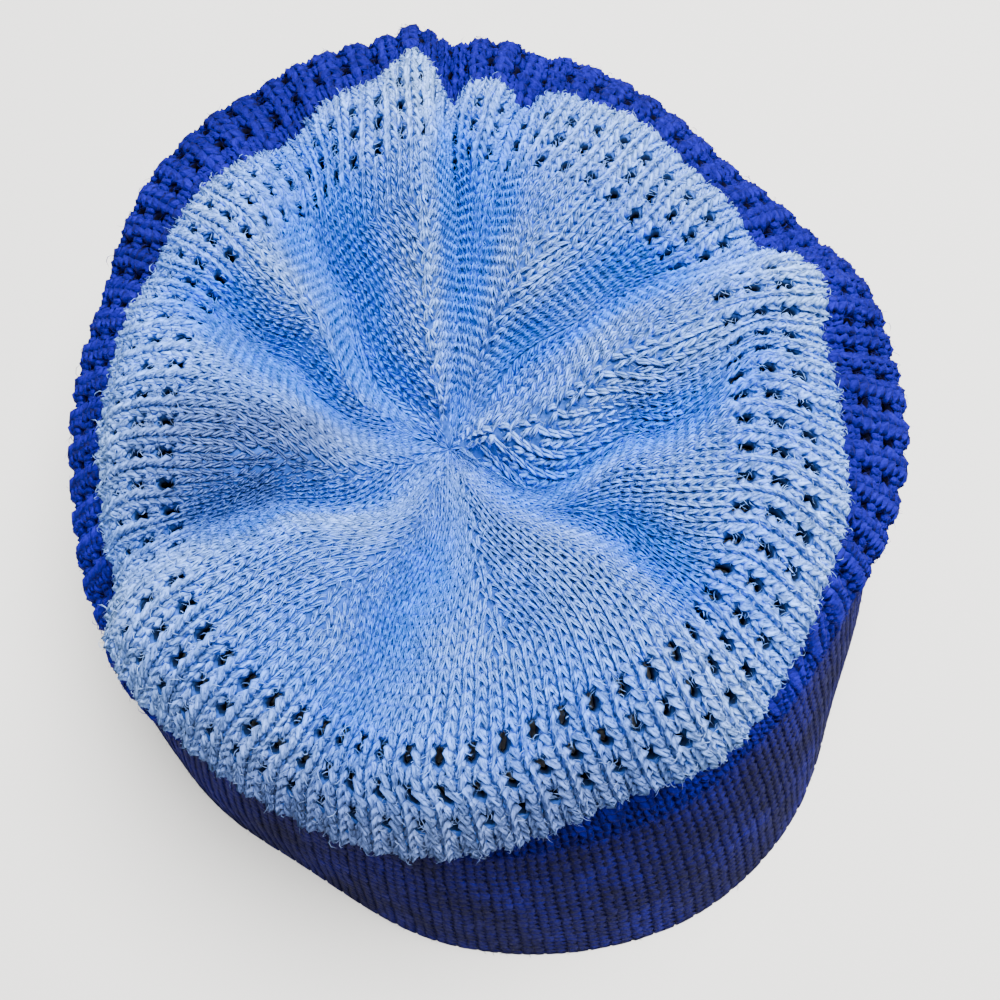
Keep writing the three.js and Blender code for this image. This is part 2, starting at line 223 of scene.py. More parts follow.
def meridian_points(az):
    """Outer face as (radius, height) from tip to hem, with the place of the edge and the waist."""
    s = stations_at(az)
    t = np.arange(CROWN_STEPS)[None, :] / CROWN_STEPS
    rim_r, rim_z = s["rim_r"][:, None], s["rim_z"][:, None]
    climb = 1 - (1 - t) ** TIP_CONE
    crown = np.stack((rim_r * t, TIP_HEIGHT + (rim_z - TIP_HEIGHT) * climb), -1)
    turn = (s["rim_r"] + (s["edge_r"] - s["rim_r"]) * SHOULDER_R,
            s["rim_z"] + (s["edge_z"] - s["rim_z"]) * SHOULDER_Z)
    band = (s["hem_r"] + (s["waist_r"] - s["hem_r"]) * BAND_BELLY_AT + BAND_BELLY_OUT,
            s["waist_z"] * BAND_BELLY_AT)
    knots = np.stack([np.stack(pair, -1) for pair in (
        (s["rim_r"], s["rim_z"]), turn, (s["edge_r"], s["edge_z"]),
        (s["belly_r"], s["belly_z"]), (s["waist_r"], s["waist_z"]), band,
        (s["hem_r"], s["hem_r"] * 0))])
    slopes = [np.stack((turn[0] - s["rim_r"], turn[0] * 0), -1)]
    for i in range(1, len(knots)):
        slopes.append((knots[min(i + 1, len(knots) - 1)] - knots[i - 1]) / 2)
    spans = [crown]
    steps = (np.arange(CURVE_STEPS) / CURVE_STEPS)[None, :, None]
    for k in range(len(knots) - 1):
        a, b, slope_a, slope_b = (
            p[:, None, :] for p in (knots[k], knots[k + 1], slopes[k], slopes[k + 1]))
        spans.append(hermite(a, b, slope_a, slope_b, steps))
    spans.append(knots[-1][:, None, :])
    edge, waist = (CROWN_STEPS + knot * CURVE_STEPS for knot in (EDGE_KNOT, WAIST_KNOT))
    return np.concatenate(spans, 1), edge, waist


def profile_table(az, shares):
    """(radius, height) at every azimuth and share v, even in arc length within each part."""
    points, edge, waist = meridian_points(az)
    steps = np.linalg.norm(np.diff(points, axis=1), axis=2)
    length = np.concatenate((np.zeros((len(az), 1)), np.cumsum(steps, 1)), 1)
    table = np.empty((len(az), len(shares), 2))
    for i in range(len(az)):
        bounds = (0, length[i, edge], length[i, waist], length[i, -1])
        target = np.interp(shares, V_STOPS, bounds)
        for c in (0, 1):
            table[i, :, c] = np.interp(target, length[i], points[i, :, c])
    return table


def through_stops(values, v):
    """A fold's value at any v, from its values near the tip, half way out and at the rim."""
    tip, middle, rim = FOLD_STOPS
    inner = values[0] + (values[1] - values[0]) * ramp(v, tip, middle)
    outer = values[1] + (values[2] - values[1]) * ramp(v, middle, rim)
    return np.where(v < middle, inner, outer)


def fold_shape(row, az, v, r):
    """A fold's cross-section: one on its centre line, falling to nothing on both sides."""
    fold = dict(zip(FOLD_COLUMNS, row))
    width = FOLD_TIP_WIDTH + (1 - FOLD_TIP_WIDTH) * np.clip(r / FOLD_FULL_WIDTH, 0, 1)
    across = np.radians(degrees_between(az, through_stops(row[0:3], v))) * r
    half = np.where(across < 0, fold["w_less"], fold["w_more"]) * width
    return np.exp(-np.abs(across / half) ** fold["sharp"])


def fold_height(az, v, r):
    grow = smooth(r / FOLD_START) * (1 - smooth((v - 1) / FOLD_END))
    return grow * sum(through_stops(row[3:6], v) * fold_shape(row, az, v, r)
                      for row in FOLDS.values())


def valley_share(az, v, r):
    """One in the deep valleys, less in shallow ones and none on the slopes and ridges."""
    return sum(min(1, -row[4] / DEEP_VALLEY) * fold_shape(row, az, v, r)
               for row in FOLDS.values() if row[4] < 0)


def buckle_height(az, v):
    total = sum(h * hump(degrees_between(az, at), 0, half) for at, h, half in BUCKLES)
    return total * ramp(v, BUCKLE_FROM, 2)


TURN_SAMPLES = 1440                    # round the hat
SHARE_STEPS = 100                      # along the crown, and again along the wall and the band
NORMAL_STEP = 0.03                     # v by which the outward direction looks ahead and back
NEAR_TIP = 0.001                       # v that stands for the tip, where the outline is a point


class Surface:
    """The folded outer face over azimuth and v, sampled once and read by interpolation."""

    def __init__(self):
        self.az = np.arange(TURN_SAMPLES + 1) * 360 / TURN_SAMPLES
        self.v = np.linspace(0, 3, 3 * SHARE_STEPS + 1)
        table = profile_table(self.az, self.v)
        ahead = profile_table(self.az, np.minimum(self.v + NORMAL_STEP, 3))
        behind = profile_table(self.az, np.maximum(self.v - NORMAL_STEP, NEAR_TIP))
        run = ahead - behind
        n = unit(np.stack((-run[..., 1], run[..., 0]), -1))
        level = smooth(self.v - 2)[None, :, None]
        n = unit(n * (1 - level) + np.array((1.0, 0.0)) * level)
        az, v = self.az[:, None], self.v[None, :]
        self.fold = fold_height(az, v, table[..., 0])
        height = self.fold + buckle_height(az, v)
        flat = table + n * height[..., None]
        cos, sin = np.cos(np.radians(az)), np.sin(np.radians(az))
        self.point = np.stack((flat[..., 0] * cos, flat[..., 0] * sin, flat[..., 1]), -1)
        self.normal = np.stack((n[..., 0] * cos, n[..., 0] * sin, n[..., 1]), -1)
        around = np.linalg.norm(np.diff(self.point, axis=0), axis=2)
        self.round = np.concatenate((np.zeros((1, len(self.v))), np.cumsum(around, 0)))

    def read(self, grid, az, v):
        """One of its grids at any azimuth and v, in a straight line between samples."""
        x = (az / 360) % 1 * TURN_SAMPLES
        y = np.clip(v, 0, 3) * SHARE_STEPS
        i = np.minimum(x.astype(int), TURN_SAMPLES - 1)
        j = np.minimum(y.astype(int), 3 * SHARE_STEPS - 1)
        s, t = (x - i)[..., None], (y - j)[..., None]
        top = grid[i, j] * (1 - t) + grid[i, j + 1] * t
        return top * (1 - s) + (grid[i + 1, j] * (1 - t) + grid[i + 1, j + 1] * t) * s


surface = Surface()


def stitches_in_sector(row):
    """Stitches across one sector of the crown: one at the tip, all of them once it is shaped."""
    return 1 + (SECTOR_WALES - 1) * np.clip(row / SHAPED_ROWS, 0, 1)


def even_lines(x, arc, az, beside):
    """Azimuths of lines at even arc lengths, turned so that they drift least from others."""
    length = arc[-1] - arc[0]
    start = 0.0
    for _ in range(SETTLING_PASSES):
        place = arc[0] + start + x / WALES * length
        turns = np.floor((place - arc[0]) / length)
        even = np.interp(place - turns * length, arc, az) + turns * 360
        start -= np.mean(even - beside) / 360 * length
    return even


def fold_centres():
    """Azimuths of the fold lines at each sampled v, and of the first one again a turn later."""
    folds = np.array([row[0:3] for row in FOLDS.values()])
    centres = np.array([[through_stops(row, v) for row in folds] for v in surface.v])
    return np.concatenate((centres, centres[:, :1] + 360), 1)


def ring_at(j, centres):
    """One sampled v, from the first fold round to itself: azimuths, arc lengths, and the lengths
    counted as far as they are in valleys; then both kinds of length at each fold."""
    az = centres[0] + np.arange(TURN_SAMPLES + 1) * 360 / TURN_SAMPLES
    length = surface.round[-1, j]
    arc = np.floor(az / 360) * length + np.interp(az % 360, surface.az, surface.round[:, j])
    in_valley = valley_share(az, surface.v[j], length / (2 * math.pi))
    crowd = np.concatenate(((0,), np.cumsum(np.diff(arc) * in_valley[1:])))
    return az, arc, crowd, np.interp(centres, az, arc), np.interp(centres, az, crowd)


def crowded_lines(x, v, ring, centres, wales):
    """Azimuths of the crown's wale lines at one v: at their open width apart, and crowded in the
    valleys. wales is how many each fold keeps."""
    az, arc, crowd, arc_at, crowd_at = ring
    open_width = np.interp(v, OPEN_WIDTH_V, OPEN_WIDTH)
    width = open_width * stitches_in_sector(v * CROWN_ROWS) / SECTOR_WALES
    spare = wales * width - np.diff(arc_at)
    more = np.clip(spare / np.maximum(np.diff(crowd_at), LEAST_CROWD), 0, MOST_CROWDED)
    k = np.clip(np.searchsorted(centres, az, side="right") - 1, 0, len(wales) - 1)
    inside = arc - arc_at[k] + more[k] * (crowd - crowd_at[k])
    whole = np.diff(arc_at)[k] + more[k] * np.diff(crowd_at)[k]
    first = np.concatenate(((0,), np.cumsum(wales)))
    return np.interp(x, first[k] + wales[k] * inside / whole, az)


def wale_azimuths():
    """Azimuth of the wale lines at each sampled v. Every fold keeps its own wales, and the first
    line runs along the first fold."""
    x = np.arange(LINES_PER_WALE * WALES + 1) / LINES_PER_WALE
    centres = fold_centres()
    rings = [ring_at(j, centres[j]) for j in range(len(surface.v))]
    shares = [np.diff(rings[j][3]) / surface.round[-1, j]
              for j in range(round(MEASURED_FROM * SHARE_STEPS), SHARE_STEPS + 1)]
    wales = WALES * np.mean(shares, 0)
    table = np.empty((len(x), len(surface.v)))
    for j in range(1, len(surface.v)):
        v = surface.v[j]
        if v <= 1:
            table[:, j] = crowded_lines(x, v, rings[j], centres[j], wales)
            share = EVEN_AT_EDGE * float(ramp(v, EVEN_FROM, 1))
        else:
            table[:, j] = table[:, SHARE_STEPS]
            share = EVEN_AT_HEM * float(ramp(v, 1, 3))
        az, arc = rings[j][:2]
        even = even_lines(x, arc, az, table[:, j])
        table[:, j] += share * (even - table[:, j])
    table[:, 0] = table[:, 1]
    return table


WALE_AZ = wale_azimuths()
# The wale line that runs down a decrease line of the crown, from which the wales are counted
TURN_SHIFT = float(np.interp(FIRST_DECREASE_AZ + 360, WALE_AZ[:, SHARE_STEPS // 2],
                             np.arange(len(WALE_AZ)) / LINES_PER_WALE))


def azimuth_of(wale, v):
    """Azimuth of a wale at any v, read between the sampled wale lines."""
    x = (wale + TURN_SHIFT) % WALES * LINES_PER_WALE
    y = np.clip(v, 0, 3) * SHARE_STEPS
    i = np.minimum(x.astype(int), len(WALE_AZ) - 2)
    j = np.minimum(y.astype(int), 3 * SHARE_STEPS - 1)
    s, t = x - i, y - j
    top = WALE_AZ[i, j] * (1 - t) + WALE_AZ[i, j + 1] * t
    return top * (1 - s) + (WALE_AZ[i + 1, j] * (1 - t) + WALE_AZ[i + 1, j + 1] * t) * s


def lace_share(row):
    """One in the lace rows, and nothing in the plain crown above and the band below them."""
    return ramp(row, *PUFF_STARTS) * (1 - ramp(row, *PUFF_ENDS))


def column_wave(wale):
    """One on the plain column of each lace repeat, minus one on its eyelet column."""
    return np.cos(np.pi * (wale - 0.5))


def cloth_point(wale, row):
    """Place, outward direction and fold height of the knit at a wale and row, in mm."""
    scallop = 1 - 2 * np.abs(np.sin(np.pi * (wale - 0.5) / 2)) ** SCALLOP_POWER
    moved = row - EDGE_WAVE * scallop * hump(row, EDGE_ROW, EDGE_WAVE_REACH)
    moved = np.clip(moved, 0, HEM_ROW)
    v = np.interp(moved, ROW_STOPS, V_STOPS)
    az = azimuth_of(wale, np.interp(row, ROW_STOPS, V_STOPS))
    place = surface.read(surface.point, az, v)
    out = unit(surface.read(surface.normal, az, v))
    puff = LACE_PUFF * lace_share(row) * column_wave(wale)
    lobe = EDGE_LIP_BETWEEN + (1 - EDGE_LIP_BETWEEN) * (scallop + 1) / 2
    lip = EDGE_LIP * lobe * hump(row, *LIP_ROWS)
    under = UNDERCUT * hump(row, *UNDERCUT_ROWS)
    fold = surface.read(surface.fold[..., None], az, v)[..., 0]
    return place + out * (puff + lip - under)[..., None], out, fold


# The crown's axis stands off the middle of the hat, whose box the CAD part gives
LOCAL_LOW = surface.point.reshape(-1, 3).min(0)
LOCAL_HIGH = surface.point.reshape(-1, 3).max(0)
AXIS_AT = np.array([(CAD_BOX[0][c] + CAD_BOX[1][c]) / 2 / MM - (LOCAL_LOW[c] + LOCAL_HIGH[c]) / 2
                    for c in (0, 1)] + [0.0])


# ---- making objects ----------------------------------------------------------------------------
def add_object(name, points, faces):
    mesh = bpy.data.meshes.new(name)
    mesh.from_pydata(np.asarray(points).tolist(), [], faces)
    mesh.update()
    mesh.shade_smooth()
    obj = bpy.data.objects.new(name, mesh)
    bpy.context.scene.collection.objects.link(obj)
    return obj


def store(mesh, name, kind, values):
    """Stores one value or vector for each point of a mesh under a name."""
    attribute = mesh.attributes.new(name, kind, "POINT")
    key = "vector" if kind == "FLOAT_VECTOR" else "value"
    attribute.data.foreach_set(key, np.asarray(values, np.float32).ravel())


def linear(hex_colour):
    """sRGB hex to linear colour."""
    channels = [int(hex_colour[i:i + 2], 16) / 255 for i in (1, 3, 5)]
    return tuple(c / 12.92 if c <= 0.04045 else ((c + 0.055) / 1.055) ** 2.4
                 for c in channels) + (1.0,)


def add_node(tree, kind, settings=None, *values, **links):
    """Adds a node with its settings, given as a dict or as the name of its operation. values are
    its inputs in order and links its inputs by name, with _ for a space: each is a value, a
    socket, or a node, whose first output is used; a list joins several."""
    node = tree.nodes.new(kind)
    if isinstance(settings, str):
        settings = {"operation": settings}
    for key, value in (settings or {}).items():
        setattr(node, key, value)
    usable = [s for s in node.inputs if not s.is_unavailable]
    given = list(zip(usable, values))
    for key, value in links.items():
        given.append((next(s for s in usable if s.name == key.replace("_", " ")), value))
    for socket, value in given:
        for one in value if isinstance(value, list) else [value]:
            if isinstance(one, bpy.types.Node):
                one = next(s for s in one.outputs if not s.is_unavailable)
            if isinstance(one, bpy.types.NodeSocket):
                tree.links.new(one, socket)
            else:
                socket.default_value = one
    return node


# ---- the cloth in the flat, which the stitches are wrapped on ----------------------------------
FLAT_LINES_PER_WALE = 6
FLAT_LINES_PER_ROW = 4

# Painted light: the yarn's tone, from deep to pale, is painted shade in the folds and painted
# highlight on the ridges. On the crown it is a base, and more for a fold's height in mm and for
# being near the edge; below the edge it goes from the wall's to the band's.
TONE_BASE = -0.1
FOLD_PAINTED_LIGHT = 0.75
FOLD_PAINTED_LIGHT_HEIGHTS = (-5.0, 5.0)
TONE_OF_EDGE = 0.45
TONE_EDGE_ROWS = (25, 39)
# the band is deeper than the wall: painted shade under the crown's overhang
TONE_OF_WALL, BAND_IN_PAINTED_SHADE = 0.65, 0.15
TONE_WAIST_ROWS = (WAIST_ROW - 4, WAIST_ROW + 2)

# Painted shade that greys the crown's yarn where it turns from the light: the front edge, which
# faces down, and the lobe at the left, which falls away into its valley. Azimuth, row, their
# half-widths, and how strong
PAINTED_SHADE_PATCHES = {
    "front_edge": (266, 41, 44, 10, 0.85),
    "left_lobe":  (192, 23, 17, 12, 0.75),
}
PAINTED_SHADE_EDGE = 4                          # power that keeps a patch of painted shade even up to its edge


def flat_uv(wale, row):
    return np.stack(((wale + MARGIN_WALES) / FLAT_TURN, row / HEM_ROW), -1)


def make_cloth():
    """The knit's outer surface as one mesh, with its flat place, directions, painted light tone and
    painted shade stored.
    """
    wales = np.linspace(-MARGIN_WALES, WALES + MARGIN_WALES, FLAT_TURN * FLAT_LINES_PER_WALE + 1)
    rows = np.linspace(0, HEM_ROW, HEM_ROW * FLAT_LINES_PER_ROW + 1)
    wale, row = np.meshgrid(wales, rows, indexing="ij")
    place, _, fold = cloth_point(wale, row)
    across = np.gradient(place, axis=0)
    along = np.gradient(place, axis=1)
    out = unit(np.cross(along, across))
    out[:, 0] = (0, 0, 1)              # all wales meet at the tip, which faces up
    count = len(rows)
    start = (np.arange(len(wales) - 1)[:, None] * count + np.arange(count - 1)).ravel()
    faces = np.stack((start, start + 1, start + count + 1, start + count), -1)
    cloth = add_object("cloth_flat", ((place + AXIS_AT) * MM).reshape(-1, 3), faces.tolist())
    uv = flat_uv(wale, row)
    store(cloth.data, "flat", "FLOAT_VECTOR", np.concatenate((uv, uv[..., :1] * 0), -1))
    store(cloth.data, "out", "FLOAT_VECTOR", out)
    store(cloth.data, "down", "FLOAT_VECTOR", unit(along))
    store(cloth.data, "tone", "FLOAT", cloth_painted_light(row, fold))
    store(cloth.data, "worn", "FLOAT", painted_shade_share(place, row))
    return cloth


def cloth_painted_light(row, fold):
    """Painted light: zero deep in a fold, as painted shade, and one on ridges, as painted
    highlight, and towards the edge. The lace wall is between the two and the band near the deep
    end, as painted shade under the crown."""
    crown = (TONE_BASE + FOLD_PAINTED_LIGHT * ramp(fold, *FOLD_PAINTED_LIGHT_HEIGHTS)
             + TONE_OF_EDGE * ramp(row, *TONE_EDGE_ROWS))
    below = TONE_OF_WALL + (BAND_IN_PAINTED_SHADE - TONE_OF_WALL) * ramp(row, *TONE_WAIST_ROWS)
    return np.clip(np.where(row <= EDGE_ROW, crown, below), 0, 1)


def painted_shade_share(place, row):
    """How much painted shade greys the crown's yarn, from zero to one."""
    az = np.degrees(np.arctan2(place[..., 1], place[..., 0]))
    worn = 0
    for centre, middle, wide, high, share in PAINTED_SHADE_PATCHES.values():
        round_it = (degrees_between(az, centre) / wide) ** PAINTED_SHADE_EDGE
        along_it = ((row - middle) / high) ** PAINTED_SHADE_EDGE
        worn = worn + share * np.exp(-round_it - along_it)
    return np.where(row <= EDGE_ROW, worn, 0)


# ---- layouts: one point for each stitch, as (wale, row), with its size -------------------------
# Shapes of the lace's stitches, as shares of a plain stitch's width, height and depth
DOUBLE_STITCH = (1.7, 1.1, 1.15)       # between two eyelets: it holds two loops
COLUMN_STITCH = (1.3, 1.05, 1.1)       # in the plain columns on the rows between
COLUMN_WIDER = 0.2                     # what that gains beside a row of eyelets
NARROW_STITCH = 0.85                   # width of one in an eyelet's column, on those rows
NARROW_SHORTER = 0.15                  # what its height loses beside an eyelet
NARROW_MOVED = 0.35                    # rows by which it is pushed off the eyelet


@dataclass
class Stitch:
    """One stitch in the flat. Width is in wales and height in rows, depth is a share of a plain
    stitch's, and lean is how far it is sheared, in wales a row."""
    wale: float
    row: float
    width: float = 1.0
    height: float = 1.0
    depth: float = 1.0
    lean: float = 0.0


def crown_stitches(first_row, last_row):
    """Each sector keeps its columns, which fan out from its middle. New ones start in pairs at its
    two sides, and a leaning stitch on the decrease line fills the wedge between them."""
    stitches = []
    for row in range(first_row, last_row):
        count = stitches_in_sector(row + 0.5)
        pitch = SECTOR_WALES / count
        widening = SECTOR_WALES * (1 / stitches_in_sector(row + 1) - 1 / stitches_in_sector(row))
        pairs = int(count // 2)
        spare = count / 2 - pairs
        for sector in range(SECTORS):
            middle = (sector + 0.5) * SECTOR_WALES
            for k in np.arange(-pairs, pairs) + 0.5:
                stitches.append(lace_stitch(middle + k * pitch, row, pitch, k * widening))
            if spare > LEAST_WEDGE:
                width = min(2 * spare, WIDEST_WEDGE) * pitch
                stitches.append(Stitch(sector * SECTOR_WALES, row, width))
    return [stitch for stitch in stitches if stitch]


def lace_stitch(wale, row, width=1.0, lean=0.0):
    """A stitch at a wale, or None where an eyelet is: there the yarn goes over the needle, and
    the stitch beside it, which holds two loops, is wide."""
    if row < FIRST_LACE_ROW or row >= WAIST_ROW - LAST_PLAIN_ROWS:
        return Stitch(wale, row, width, lean=lean)
    eyelet_column = int(wale) % 2 == 1
    if row in EYELET_ROWS:
        wide, high, deep = DOUBLE_STITCH
        return None if eyelet_column else Stitch(wale, row, wide * width, high, deep)
    beside = 1 if row - 1 in EYELET_ROWS else -1 if row + 1 in EYELET_ROWS else 0
    if eyelet_column:
        return Stitch(wale, row + NARROW_MOVED * beside, NARROW_STITCH * width,
                      1 - NARROW_SHORTER * abs(beside))
    wide, high, deep = COLUMN_STITCH
    return Stitch(wale, row, (wide + COLUMN_WIDER * abs(beside)) * width, high, deep)


def lace_wall_stitches():
    stitches = [lace_stitch(i + 0.5, row)
                for row in range(EDGE_ROW, WAIST_ROW) for i in range(WALES)]
    return [stitch for stitch in stitches if stitch]


def band_stitches():
    width = WALES / BAND_WALES
    return [Stitch((i + 0.5) * width, row, width, depth=BAND_DEPTH)
            for row in range(WAIST_ROW, HEM_ROW) for i in range(BAND_WALES)]


def layout_object(name, stitches):
    """Points in the flat, x by wale and y by row. size is the stitch's width in wales, its
    height in rows and its depth in metres; middle is its place in the flat and its lean."""
    data = np.array([(s.wale, s.row + 0.5, s.width, s.height, s.depth * STITCH_WIDTH * MM, s.lean)
                     for s in stitches])
    points = np.stack((data[:, 0], data[:, 1], data[:, 0] * 0), -1)
    obj = add_object(name, points, [])
    store(obj.data, "size", "FLOAT_VECTOR", data[:, 2:5])
    store(obj.data, "middle", "FLOAT_VECTOR", data[:, (0, 1, 5)])
    return obj


# ---- Geometry Nodes ----------------------------------------------------------------------------
MATH = "ShaderNodeMath"
VECTOR_MATH = "ShaderNodeVectorMath"
COMBINE = "ShaderNodeCombineXYZ"
SEPARATE = "ShaderNodeSeparateXYZ"
NOISE = "ShaderNodeTexNoise"
RANDOM = "FunctionNodeRandomValue"
NAMED = "GeometryNodeInputNamedAttribute"
STORE = "GeometryNodeStoreNamedAttribute"
POSITION = "GeometryNodeInputPosition"
SET_POSITION = "GeometryNodeSetPosition"
BEZIER = "GeometryNodeCurveQuadraticBezier"
CIRCLE = "GeometryNodeCurvePrimitiveCircle"
SWEEP = "GeometryNodeCurveToMesh"
MERGE = "GeometryNodeMergeByDistance"
SCATTER = "GeometryNodeInstanceOnPoints"
REALIZE = "GeometryNodeRealizeInstances"
SET_MATERIAL = "GeometryNodeSetMaterial"
VECTOR = {"data_type": "FLOAT_VECTOR"}

SHADE_SEED = 7                         # added to a knit's seed for the shade of its stitches
END_MERGE = 0.0005                     # closes the pointed ends, in the unit stitch or fibre
EDGE_OF_FLAT = 0.02                    # rows kept inside the flat cloth at tip and hem
NOT_IN_TABLE = (-1.0, -1.0, 0.0003)    # lowest place of any yarn: just above the table, in metres

# A leg is a bow in a unit stitch, with x across it, y down it and z standing off it
LEG_SEGMENTS = 3
BOW_X, BOW_Y = 0.72, 0.1               # its middle handle, x as a share of the arm's
BOW_Z = 1.8                            # heights of its handles, for an arch of one
LEG_FULLNESS = 0.6                     # below one, it keeps its girth nearly to its ends
LEG_APART = 2.0                        # keeps the fibre pattern of the two legs apart

# Hand knitting is uneven from stitch to stitch, and again over some five stitches
NEAR_UNEVEN, WIDE_UNEVEN = 1.1, 0.22   # waves for each wale or row
HEIGHT_IN_WAVES = 800.0                # heights are in metres, so they count for more there

OUTWARD = 0.2                          # fibres grow where a face looks out by this much or more
FIBRE_SEGMENTS = 2
FIBRE_SIDES = 3
LEAST_LIFT = 0.12                      # how far the flattest fibre stands off
FIBRE_LENGTHS = (0.5, 1.5)             # shortest and longest, as shares of their length
LYING_GIRTH = 1.3                      # share of its thickness that a lying fibre has


def new_tree(name, inputs):
    """A Geometry Nodes tree with named inputs, each (name, socket kind, default)."""
    tree = bpy.data.node_groups.new(name, "GeometryNodeTree")
    tree.interface.new_socket("Geometry", in_out="OUTPUT", socket_type="NodeSocketGeometry")
    tree.interface.new_socket("Geometry", in_out="INPUT", socket_type="NodeSocketGeometry")
    for label, kind, default in inputs:
        socket = tree.interface.new_socket(label, in_out="INPUT", socket_type="NodeSocket" + kind)
        if default is not None:
            socket.default_value = default
    return tree, tree.nodes.new("NodeGroupInput").outputs


def stitch_tree():
    """One V of two yarn legs on every point of the flat layout, wrapped on the cloth."""
    tree, given = new_tree("knit_stitches", (
        ("Cloth", "Object", None), ("Plies", "Int", 3), ("Sides", "Int", 3),
        ("Ply Radius", "Float", 0.5), ("Ply Place", "Float", 0.55), ("Twist", "Float", 2.6),
        ("Leg Radius", "Float", 0.22), ("Apex Gap", "Float", 0.07),
        ("Arm Spread", "Float", 0.38), ("Overlap", "Float", 0.38), ("Arch", "Float", 0.11),
        ("Sink", "Float", 0.0005), ("Looseness", "Float", 0.10),
        ("Unevenness", "Vector", (0.22, 0.20, 0.0005)), ("Seed", "Int", 1),
        ("Material", "Material", None)))
    legs = [stitch_leg(tree, given, side) for side in (-1, 1)]
    stitch = add_node(tree, "GeometryNodeJoinGeometry", Geometry=legs)

    least = add_node(tree, MATH, "MULTIPLY", given["Looseness"], -1.0)
    turn = add_node(tree, RANDOM, Min=least, Max=given["Looseness"], Seed=given["Seed"])
    size = add_node(tree, NAMED, VECTOR, Name="size")
    points = add_node(tree, "GeometryNodeMeshToPoints", Mesh=given["Geometry"])
    placed = add_node(tree, SCATTER, Points=points, Instance=stitch,
                      Rotation=add_node(tree, COMBINE, Z=turn), Scale=size)
    other_seed = add_node(tree, MATH, "ADD", given["Seed"], float(SHADE_SEED))
    shaded = add_node(tree, STORE, {"domain": "INSTANCE"}, Geometry=placed, Name="shade",
                      Value=add_node(tree, RANDOM, Seed=other_seed))
    real = add_node(tree, REALIZE, Geometry=shaded)
    wrapped = wrap_on_cloth(tree, uneven(tree, real, given), given)
    soft = add_node(tree, "GeometryNodeSetShadeSmooth", Geometry=wrapped)
    done = add_node(tree, SET_MATERIAL, Geometry=soft, Material=given["Material"])
    add_node(tree, "NodeGroupOutput", Geometry=done)
    return tree


def leg_line(tree, given, side):
    """The bow that one leg follows, from the apex, on top and towards the hem, to the arm's end."""
    low = add_node(tree, MATH, "ADD", given["Overlap"], 0.5)
    high = add_node(tree, MATH, "MULTIPLY", low, -1.0)
    apex_x = add_node(tree, MATH, "MULTIPLY", given["Apex Gap"], float(side))
    arm_x = add_node(tree, MATH, "MULTIPLY", given["Arm Spread"], float(side))
    middle_x = add_node(tree, MATH, "MULTIPLY", given["Arm Spread"], BOW_X * side)
    dip = add_node(tree, MATH, "MULTIPLY", given["Arch"], -BOW_Z)
    rise = add_node(tree, MATH, "MULTIPLY", given["Arch"], BOW_Z)
    start = add_node(tree, COMBINE, X=apex_x, Y=low)
    middle = add_node(tree, COMBINE, X=middle_x, Y=BOW_Y, Z=rise)
    end = add_node(tree, COMBINE, X=arm_x, Y=high, Z=dip)
    return add_node(tree, BEZIER, Resolution=LEG_SEGMENTS, Start=start, Middle=middle, End=end)


def ply_profile(tree, given):
    """The section of a leg: the plies' circles, set evenly round its line."""
    ply = add_node(tree, CIRCLE, Resolution=given["Sides"], Radius=given["Ply Radius"])
    places = add_node(tree, "GeometryNodeMeshLine", Count=given["Plies"],
                      Offset=(0.0, 0.0, 0.0))
    around = add_node(tree, MATH, "DIVIDE", 2 * math.pi, given["Plies"])
    angle = add_node(tree, MATH, "MULTIPLY", around, add_node(tree, "GeometryNodeInputIndex"))
    x = add_node(tree, MATH, "MULTIPLY", given["Ply Place"], add_node(tree, MATH, "COSINE", angle))
    y = add_node(tree, MATH, "MULTIPLY", given["Ply Place"], add_node(tree, MATH, "SINE", angle))
    places = add_node(tree, SET_POSITION, Geometry=places,
                      Position=add_node(tree, COMBINE, X=x, Y=y))
    plies = add_node(tree, SCATTER, Points=places, Instance=ply)
    return add_node(tree, REALIZE, Geometry=plies)


def stitch_leg(tree, given, side):
    """One leg in a unit stitch: its plies swept along a bow and twisted as they go. The yarn's own
    coordinates, across and along the leg, are kept on it."""
    along = add_node(tree, "GeometryNodeSplineParameter")
    swell = add_node(tree, MATH, "SINE", add_node(tree, MATH, "MULTIPLY", along, math.pi))
    full = add_node(tree, MATH, "POWER", swell, LEG_FULLNESS)
    radius = add_node(tree, MATH, "MULTIPLY", full, given["Leg Radius"])
    position = add_node(tree, POSITION)
    line = add_node(tree, STORE, VECTOR, Geometry=leg_line(tree, given, side), Name="centre",
                    Value=position)
    line = add_node(tree, STORE, Geometry=line, Name="along", Value=along)
    turn = add_node(tree, MATH, "MULTIPLY", along, given["Twist"])
    line = add_node(tree, "GeometryNodeSetCurveTilt", Curve=line, Tilt=turn)
    leg = add_node(tree, SWEEP, Curve=line, Profile_Curve=ply_profile(tree, given), Scale=radius)
    closed = add_node(tree, MERGE, Geometry=leg, Distance=END_MERGE)
    centre = add_node(tree, NAMED, VECTOR, Name="centre")
    from_centre = add_node(tree, VECTOR_MATH, "SUBTRACT", position, centre)
    parts = add_node(tree, SEPARATE, Vector=from_centre)
    leg_along = add_node(tree, NAMED, Name="along")
    across = add_node(tree, MATH, "ADD", parts, side * LEG_APART)
    yarn = add_node(tree, COMBINE, X=across, Y=leg_along, Z=parts.outputs["Z"])
    return add_node(tree, STORE, VECTOR, Geometry=closed, Name="yarn", Value=yarn)


